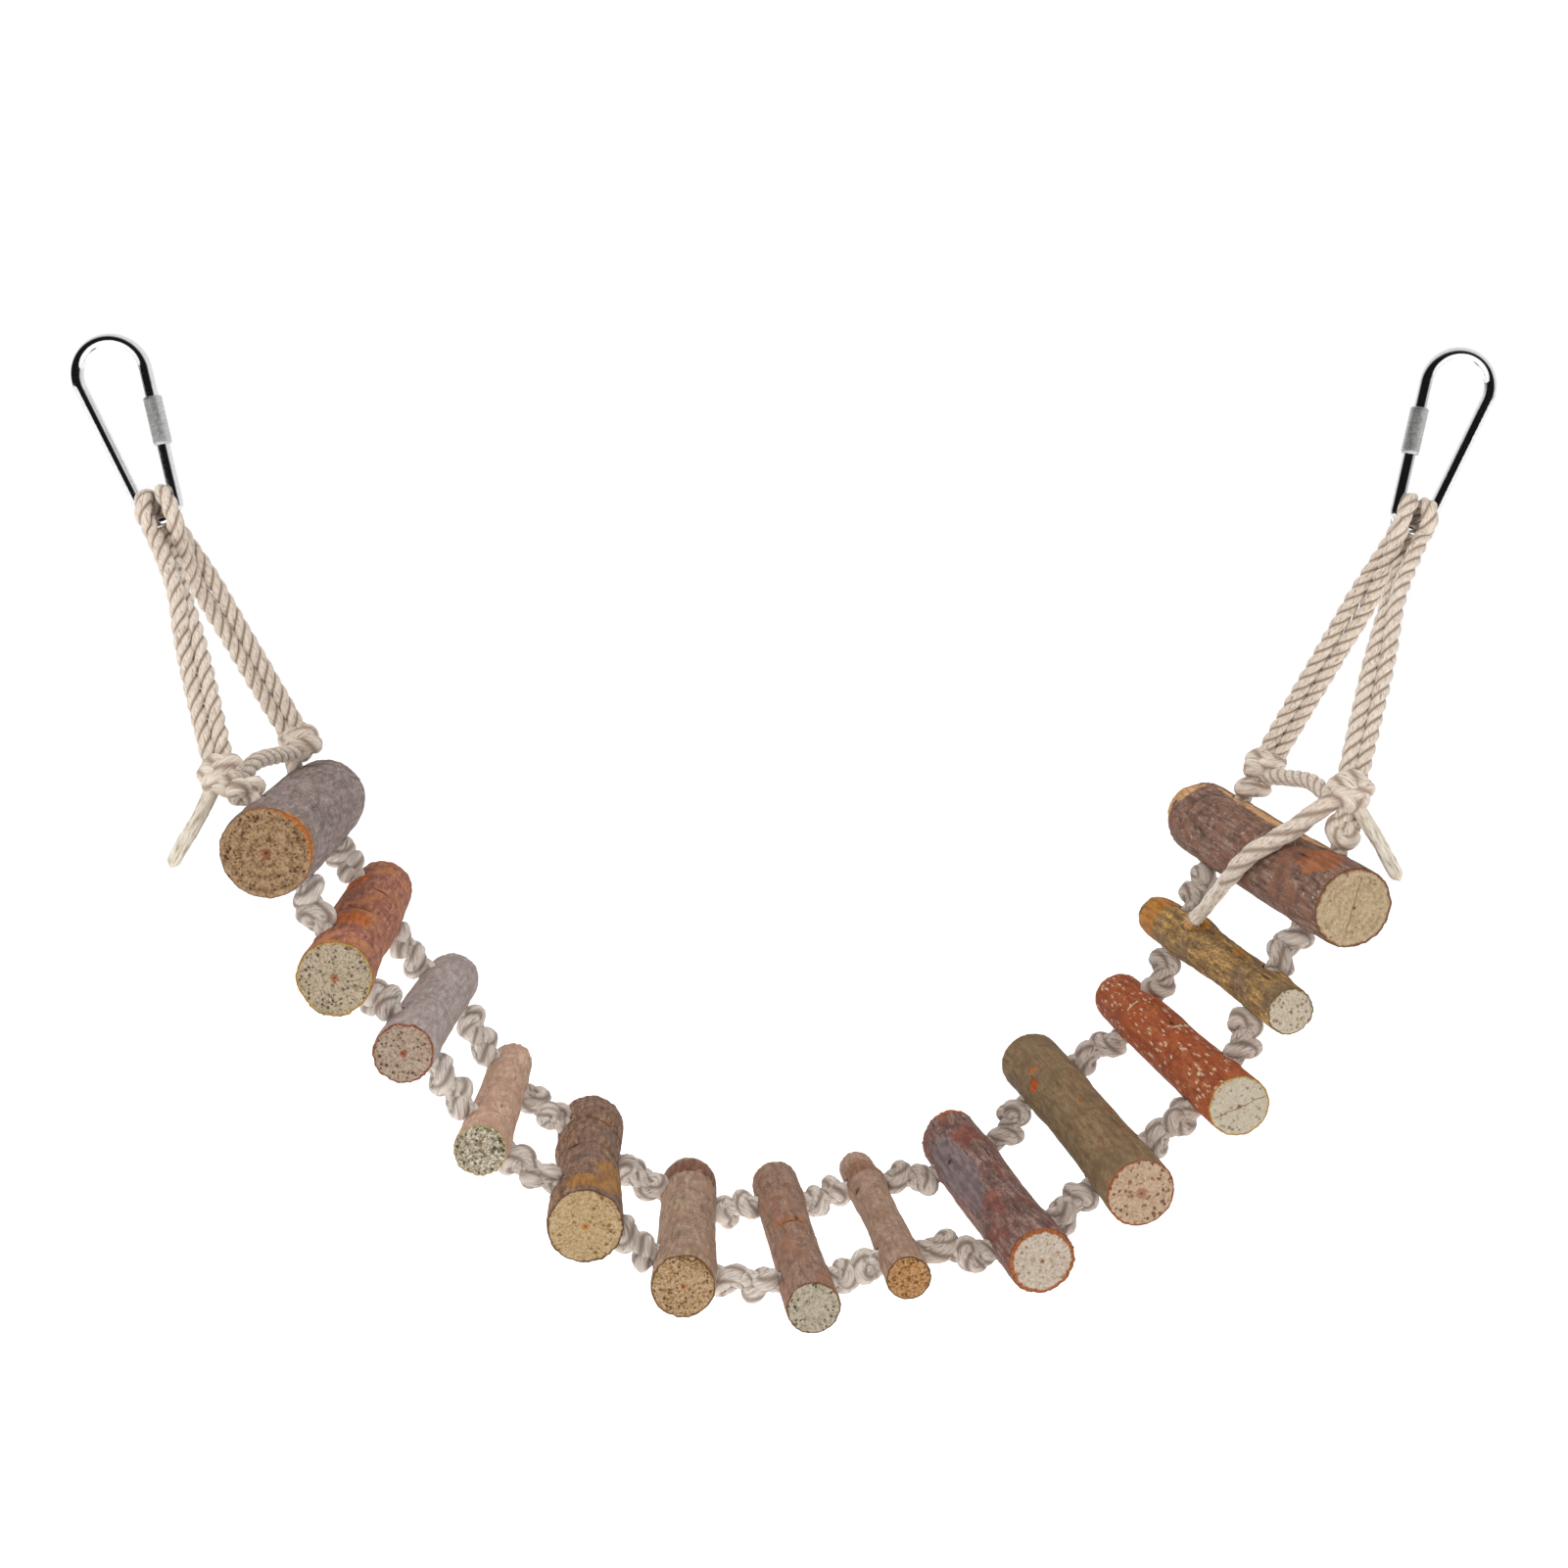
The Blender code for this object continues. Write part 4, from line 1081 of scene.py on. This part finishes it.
def bark(number, look):
    s = Shader(f"bark_{number + 1:02d}", roughness=0.82)
    s.set(s.bsdf, {"Specular IOR Level": 0.3})
    dark, middle, light = tones_of(look, "tones", look["contrast"][0])
    shift = (number * 7.3, number * 3.1, number * 5.7)
    broad = s.noise(s.place((0.16, 0.16, 0.09), shift), 4, 0.6, 0.4)
    streaks = s.noise(s.place((0.9, 0.9, 0.16), shift), 5, 0.62)
    grain = s.noise(s.place((2.6, 2.6, 0.8), shift), 4, 0.65)
    height = s.plus(s.times(streaks, 0.55), s.times(grain, 0.45))
    base = s.ramp(height, (0.38, dark), (0.5, middle), (0.62, light))
    base = s.mix(s.times(s.band(broad, 0.46, 0.66), 0.7), base, colour(*look["blotch"]))
    shade = s.noise(s.place((0.3, 0.3, 0.3), shift), 3)
    base = s.mix(s.times(s.band(shade, 0.52, 0.38), 0.4), base, dark)
    tone, share, density = look["lines"]
    crossing = s.noise(s.place((0.5, 0.5, 5.5 * density), shift), 3, 0.6, 0.6)
    lines = s.band(crossing, 0.56, 0.66)
    base = s.mix(s.times(lines, share), base, colour(*tone))
    tone, cells, size, chance, long = look["fleck"]
    spread = s.place((cells, cells, cells * long), shift)
    warp = s.vector("ADD", spread, s.node("TexNoise", {"Vector": spread, "Scale": 2.5, "Detail": 2.0}, 1))
    near, pick = s.cells(warp), s.cells(warp, out=1)
    picked = s.maths("LESS_THAN", s.node("SeparateColor", {0: pick}), chance)
    fleck = s.times(s.band(near, size, size * 0.45), picked)
    base = s.mix(s.times(fleck, 0.85), base, colour(*tone))
    rough_edge = s.times(s.minus(grain, 0.5), 0.9)
    for key in ("accent", "bare", "pale"):
        kinds = (key, "lip") if key == "bare" else (key,)
        if not any(mark[0] in kinds for mark in look["marks"]):
            continue
        mask = s.plus(s.mask(key), rough_edge)
        mask = s.band(mask, 0.35, 0.62) if key != "accent" else s.times(s.band(mask, 0.2, 0.75), 0.8)
        tone = colour(*look.get(key, (214, 196, 160)))
        deeper = tuple(c * 0.62 for c in tone)
        base = s.mix(mask, base, s.mix(s.band(streaks, 0.4, 0.6), deeper, tone))
    # painted shade: the bark's holes, slots and grooves are darkened nearly to black, and the bark round each
    # hole a little
    crack = s.mask("dark")
    base = s.mix(s.times(s.band(s.plus(crack, s.times(rough_edge, 0.6)), 0.25, 0.85), 0.85),
                 base, tuple(c * 0.3 for c in dark))
    normal = s.bump(height, 0.5, 0.5)
    normal = s.bump(s.minus(fleck, s.times(lines, 0.5)), 0.35, 0.2, normal)
    return s.finish(base, normal, Roughness=s.node("MapRange", {0: grain, 1: 0.3, 2: 0.7, 3: 0.7, 4: 0.95}))


def end_grain(number, look):
    s = Shader(f"end_grain_{number + 1:02d}", roughness=0.85)
    s.set(s.bsdf, {"Specular IOR Level": 0.2})
    shift = (number * 4.1, number * 9.7, number * 2.3)
    share = s.mask("rim")
    own = s.place((1, 1, 0))
    way = s.vector("SCALE", s.vector("NORMALIZE", own), scale=7.0)
    spokes_at = s.vector("ADD", way, s.node("CombineXYZ", {2: s.times(share, 1.8)}))
    spokes = s.noise(spokes_at, 3, 0.6)
    mottle = s.noise(s.place((0.55, 0.55, 0.55), shift), 4, 0.6)
    fine = s.noise(s.place((1.8, 1.8, 1.8), shift), 4, 0.7)
    count, depth = look["rings"]
    drift = s.noise(s.place((0.13, 0.13, 0.13), shift), 2)
    wander = s.plus(s.times(share, float(count)), s.times(s.plus(mottle, drift), 1.0))
    rings = s.times(s.plus(s.maths("SINE", s.times(wander, tau)), 1.0), 0.5 * depth)
    rings = s.times(rings, s.band(s.noise(s.place((0.35, 0.35, 0.35), shift), 2), 0.3, 0.6))
    value = s.plus(s.times(fine, 0.72), s.times(spokes, 0.28))
    value = s.minus(value, s.times(rings, 0.16))
    dark, middle, light = tones_of(look, "face", look["contrast"][1])
    base = s.ramp(value, (0.35, dark), (0.47, middle), (0.57, light))
    base = s.mix(s.times(s.band(mottle, 0.5, 0.7), 0.35), base, dark)
    tone, cells, chance = look["specks"]
    spread = s.place((cells, cells, cells), shift)
    ragged = s.node("TexNoise", {"Vector": spread, "Scale": 2.2, "Detail": 3.0}, 1)
    spread = s.vector("ADD", spread, s.vector("SCALE", ragged, scale=0.9))
    near, pick = s.cells(spread), s.cells(spread, out=1)
    chosen = s.node("SeparateColor", {0: pick})
    size = s.times(s.node("SeparateColor", {0: pick}, 1), 0.5)
    if "zones" in look:  # the pores stand thickest in a few of the rings
        wave = s.maths("SINE", s.times(s.plus(share, s.times(mottle, 0.12)), tau * look["zones"]))
        chance = s.times(s.plus(s.times(wave, -0.8), 1.0), chance)
    picked = s.maths("LESS_THAN", chosen, chance)
    outward = s.band(share, 0.1, 0.8)
    specks = s.times(s.band(s.minus(near, size), 0.14, -0.08), picked)
    specks = s.times(specks, s.plus(s.times(outward, 0.3), 0.6))
    base = s.mix(specks, base, colour(*tone))
    tone, size = look["pith"]
    edge = s.plus(share, s.times(s.minus(fine, 0.5), 0.12))
    base = s.mix(s.times(s.band(edge, size, size * 0.5), 0.8), base, colour(*tone))
    base = s.mix(s.times(s.band(edge, 0.05, 0.02), 0.8), base, tuple(c * 0.3 for c in colour(*tone)))
    if "crack" in look:
        angle, long = look["crack"]
        turned = s.node("VectorRotate", {"Vector": own, "Angle": radians(angle)}, rotation_type="Z_AXIS")
        across = s.node("SeparateXYZ", {0: turned})
        off = s.maths("ABSOLUTE", s.plus(across, s.times(s.minus(mottle, 0.5), 1.6)))
        line = s.times(s.band(off, 0.22, 0.08), s.band(share, long, long - 0.15))
        base = s.mix(s.times(line, 0.8), base, colour(118, 92, 62))
    tone, start = look["rim"]
    crumbly = s.mask("bare")
    width = s.plus(share, s.times(s.minus(mottle, 0.5), 0.14))
    width = s.plus(width, s.times(crumbly, s.plus(s.times(fine, 1.6), 0.1)))
    inner_bark = s.mix(s.band(fine, 0.38, 0.6), tuple(c * 0.5 for c in colour(*tone)), colour(*tone))
    base = s.mix(s.band(width, start - 0.02, start + 0.03), base, inner_bark)
    edge = s.band(s.plus(share, s.times(s.minus(fine, 0.5), 0.05)), 0.965, 0.995)
    base = s.mix(s.times(edge, 0.75), base, tones_of(look, "tones", look["contrast"][0])[0])
    normal = s.bump(s.minus(value, s.times(specks, 0.5)), 0.55, 0.3)
    return s.finish(base, normal)


# ---------------------------------------------------------------- rungs


# the rings of a sawn face, as shares of its radius
FACE_RINGS = np.array([
    0.985, 0.955, 0.92, 0.88, 0.82, 0.74, 0.66, 0.57, 0.48, 0.39, 0.30, 0.22, 0.15, 0.09, 0.04,
])


def apart_from(turn, number, angle):
    """How far round a rung each point is from an angle measured from the rung's top, in radians."""
    return (turn - radians(bore_of(number) + angle) + pi) % tau - pi


def log_object(number, look):
    """A branch and its sawn ends. Its points run from the front end's middle, over the bark, to the back."""
    radius = RUNGS[number][0] / 2
    coarse = 1
    around = 132 // coarse
    half = RUNG_LENGTH / 2
    u = np.arange(around) * tau / around
    turn = u + 0.2 * np.sin(2 * u)  # closer together where the ropes come out, at 90 degrees each side
    near_holes = np.concatenate([s * BORE_SPREAD / 2 + np.arange(-3.6, 3.61, 0.3 * coarse) for s in (-1, 1)])
    evenly_spaced = np.arange(-half + 0.3, half - 0.29, 0.62 * coarse)
    rows = np.concatenate([evenly_spaced, near_holes, (-half + 0.12, half - 0.12)])
    rows = np.unique(np.round(np.sort(rows), 2))
    rows = rows[np.concatenate([[True], np.diff(rows) > 0.11])]
    z, turn = np.meshgrid(rows, turn, indexing="ij")
    flat = np.stack([np.sin(turn) * radius, -np.cos(turn) * radius, z], -1)

    def noise(scale, stretch, seed, octaves=3, points=flat):
        at = points.reshape(-1, 3) * (scale, scale, scale * stretch)
        return rough_noise(at, seed + number * 31, octaves).reshape(points.shape[:-1])

    reach = radius * share_at(number, (z + half) / RUNG_LENGTH)
    reach = reach * (1 + 0.022 * noise(0.09, 0.6, 1, 2)) + 0.16 * noise(0.3, 0.5, 2, 2)
    size, stretch = look["relief"]
    reach = reach + size * noise(1.1, stretch, 3, 3)
    near_end = 1 - smoothstep(half - np.abs(z), 0, 2.2)
    reach = reach - look["chips"] * near_end * (0.25 + 0.5 * noise(1.3, 1.0, 9, 3))
    # the "dark" mask is painted shade, in the grooves, slots and holes
    masks = {key: np.zeros(z.shape) for key in ("accent", "bare", "pale", "dark")}
    ragged = noise(0.9, 0.8, 5, 3)
    for kind, place, angle, long, wide, depth in look["marks"]:
        if kind == "crumble":
            continue
        apart = apart_from(turn, number, angle)
        wave = noise(0.25, 0.2, 6, 2) * 0.8
        if kind == "crease":
            line = np.exp(-(((z - place - wave * 1.2) / long) ** 2))
            line = line * (0.55 + 0.45 * noise(0.5, 0.5, 7, 2))
            reach -= depth * line
            # painted shade in the groove
            masks["dark"] = np.maximum(masks["dark"], 0.75 * line)
            continue
        away = np.hypot((z - place) / long, apart * radius / wide)
        if kind == "knob":
            reach += depth * np.exp(-(away**2))
        elif kind == "slot":
            inside = np.exp(-((away + 0.25 * ragged) ** 2) * 1.4)
            reach -= depth * inside
            # painted shade in the slot
            masks["dark"] = np.maximum(masks["dark"], inside)
        else:
            inside = 1 - smoothstep(away + 0.3 * ragged, 0.75, 1.1)
            key = "bare" if kind == "lip" else kind
            masks[key] = np.maximum(masks[key], inside)
            reach += (depth * 0.35 if kind == "lip" else -depth) * inside
    x, y = np.sin(turn) * reach, -np.cos(turn) * reach
    # the holes, sunk behind the rope, with torn lips; painted shade darkens inside each hole, and the bark round
    # it is a little darker too
    for side in (-1, 1):
        off = np.hypot(z - side * BORE_SPREAD / 2, y) + 0.28 * ragged
        sunk = 1 - smoothstep(off, 2.15, 2.75)
        lip = np.exp(-(((off - 3.0) / 0.5) ** 2))
        x = x - np.sign(x) * (2.4 * sunk - 0.18 * lip * (1 + ragged))
        masks["dark"] = np.maximum(masks["dark"], sunk * 0.9)
        masks["dark"] = np.maximum(masks["dark"], 0.25 * (1 - smoothstep(off, 2.6, 4.0)))
    # each end's edge is uneven, and sticks out where the wood tore
    shifts = []
    lips = [mark for mark in look["marks"] if mark[0] == "lip"]
    for side in (-1, 1):
        ring = flat[0] * (1, 1, 0) + (0, 0, side * half)
        shift = look["chips"] * (0.6 * noise(0.9, 1, 11, 3, ring) - 0.15)
        for _, place, angle, _, wide, depth in lips:
            if place * side > 0:
                apart = apart_from(turn[0], number, angle)
                torn = 0.7 + 0.5 * noise(1.1, 1, 12, 2, ring)
                shift = shift + depth * np.exp(-((apart * radius / wide) ** 2)) * torn
        shifts.append(shift * side)
    # neither cut is quite square
    slant = np.array([np.sin(number * 2.4), np.cos(number * 1.7)]) * 0.02
    z = z + slant[0] * x + slant[1] * y * (z < 0)
    z = z + shifts[0] * (1 - smoothstep(z + half, 0, 4)) + shifts[1] * smoothstep(z, half - 4, half)
    side_points = np.stack([x, y, z], -1)
    shares = FACE_RINGS
    caps, crumbles = [], []
    # the sawn faces
    for index, row in ((0, 0), (1, -1)):
        rim, way = side_points[row], (-1, 1)[index]
        core = np.concatenate([np.zeros((around, 2)), np.full((around, 1), way * half)], 1)
        cap = core + (rim - core) * shares[:, None, None] * (1, 1, 0)
        edge = smoothstep(shares, 0.84, 1.0)[:, None]
        tilt = slant[0] * cap[..., 0] + slant[1] * cap[..., 1] * (way < 0)
        relief = 0.10 * noise(1.6, 1, 21 + index, 3, cap)
        lift = (rim[:, 2] - way * half - tilt) * edge
        crumble = np.zeros(around)
        for kind, place, angle, deep, spread, high in look["marks"]:
            if kind == "crumble" and place * way > 0:
                apart = apart_from(turn[0], number, angle)
                crumble = deep * np.exp(-((apart / spread) ** 2))
                relief = relief + way * high * crumble / deep * edge * noise(1.9, 1, 41, 2, cap)
        cap[..., 2] = way * half + tilt + lift + relief + way * 0.12 * (1 - edge)
        caps.append(cap)
        crumbles.append(np.tile(crumble, (len(shares), 1)))
    grid = np.concatenate([caps[0][::-1], side_points, caps[1]])
    count = len(grid)
    poles = [caps[0][-1].mean(0), caps[1][-1].mean(0)]
    # no branch is quite straight
    bend = np.array([0.35, 0.3]) * (np.sin(number * 3.3), np.cos(number * 2.1))
    points = np.concatenate([grid.reshape(-1, 3), poles])
    points[:, :2] += bend * (((points[:, 2:] / half) ** 2) - 0.4)
    k, j = np.meshgrid(np.arange(count - 1), np.arange(around), indexing="ij")
    k, j = k.ravel(), j.ravel()
    faces = tube_faces(k, j, around).tolist()
    faces += cap_faces(count, around)
    inner = len(shares)
    on_cap = (k < inner) | (k >= count - 1 - inner)
    indices = np.concatenate([on_cap.astype(int), np.ones(2 * around, int)])
    level = np.concatenate([shares[::-1], np.ones(len(side_points)), shares])
    attributes = {"rim": np.concatenate([np.repeat(level, around), [0, 0]])}
    for key, mask in masks.items():
        whole = np.zeros((count, around))
        whole[inner : count - inner] = mask
        if key == "bare":
            whole[:inner], whole[count - inner :] = crumbles
        attributes[key] = np.concatenate([whole.ravel(), [0, 0]])
    materials = [bark(number, look), end_grain(number, look)]
    name = f"branch_{number + 1:02d}"
    obj = mesh_object(name, points, faces, materials, indices, attributes=attributes, sharp=55)
    put(obj, worlds[number])
    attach(obj, f"rung_{number + 1:02d}")
    is_for(f"rung_{number + 1:02d}")


for number, look in enumerate(LOOKS):
    log_object(number, look)

# ---------------------------------------------------------------- floor, light and background

FLOOR = -0.42  # below the left link's hook, in metres

floor_mesh = bpy.data.meshes.new("floor")
floor_mesh.from_pydata([(-3, -3, FLOOR), (3, -3, FLOOR), (3, 5, FLOOR), (-3, 5, FLOOR)], [], [(0, 1, 2, 3)])
floor = bpy.data.objects.new("floor", floor_mesh)
scene.collection.objects.link(floor)
floor_look = Shader("floor", roughness=1.0)
glow = {"Emission Color": (1.0, 1.0, 1.0), "Emission Strength": 0.8}
floor_look.set(floor_look.bsdf, {"Specular IOR Level": 0.0, **glow})
floor_mesh.materials.append(floor_look.finish((0.86, 0.86, 0.86)))


def area_light(name, place, target, size, power, tone=(1, 1, 1)):
    lamp = bpy.data.lights.new(name, "AREA")
    lamp.shape, lamp.size, lamp.size_y = "RECTANGLE", *size
    lamp.energy, lamp.color = power, tone
    obj = bpy.data.objects.new(name, lamp)
    obj.location = place
    obj.rotation_euler = (Vector(target) - Vector(place)).to_track_quat("-Z", "Y").to_euler()
    obj.visible_glossy = False
    scene.collection.objects.link(obj)


MIDDLE = (0.16, 0, -0.12)  # of the ladder, in metres. The lights' powers are in watts.
area_light("key", (-0.35, -0.75, 0.65), MIDDLE, (0.6, 0.6), 6.2)
area_light("fill", (0.85, -0.7, 0.25), MIDDLE, (0.7, 0.7), 2.2)
area_light("top", (0.16, 0.35, 0.9), MIDDLE, (1.0, 0.6), 3.6)

world = bpy.data.worlds.new("studio")
world.use_nodes = True
scene.world = world
tree = world.node_tree
background = tree.nodes["Background"]


def sky(kind, values=(), **settings):
    made = tree.nodes.new(kind)
    for key, value in settings.items():
        setattr(made, key, value)
    for key, value in dict(values).items():
        if isinstance(value, bpy.types.NodeSocket):
            tree.links.new(value, made.inputs[key])
        else:
            made.inputs[key].default_value = value
    return made


# What is seen is white. Metal reflects a room that is dark at one side and bright at the other,
# and everything else is lit by an even, softer white.
BRIGHT_SIDE = (0.45, 0.8, 0.45)
SOFT_LIGHT = 0.42
ray = sky("ShaderNodeLightPath")
way = sky("ShaderNodeTexCoord").outputs["Generated"]
side = sky("ShaderNodeVectorMath", {0: way, 1: BRIGHT_SIDE}, operation="DOT_PRODUCT").outputs["Value"]
rise = {0: side, 1: -0.3, 2: 0.4, 3: 0.01, 4: 0.95}
room = sky("ShaderNodeMapRange", rise, interpolation_type="SMOOTHSTEP").outputs[0]
soft = sky("ShaderNodeMix", {0: ray.outputs["Is Glossy Ray"], 2: SOFT_LIGHT, 3: room})
shown = sky("ShaderNodeMix", {0: ray.outputs["Is Camera Ray"], 2: soft.outputs[0], 3: 1.0})
tree.links.new(shown.outputs[0], background.inputs["Strength"])
background.inputs["Color"].default_value = (1, 1, 1, 1)
scene.view_settings.view_transform = "Standard"
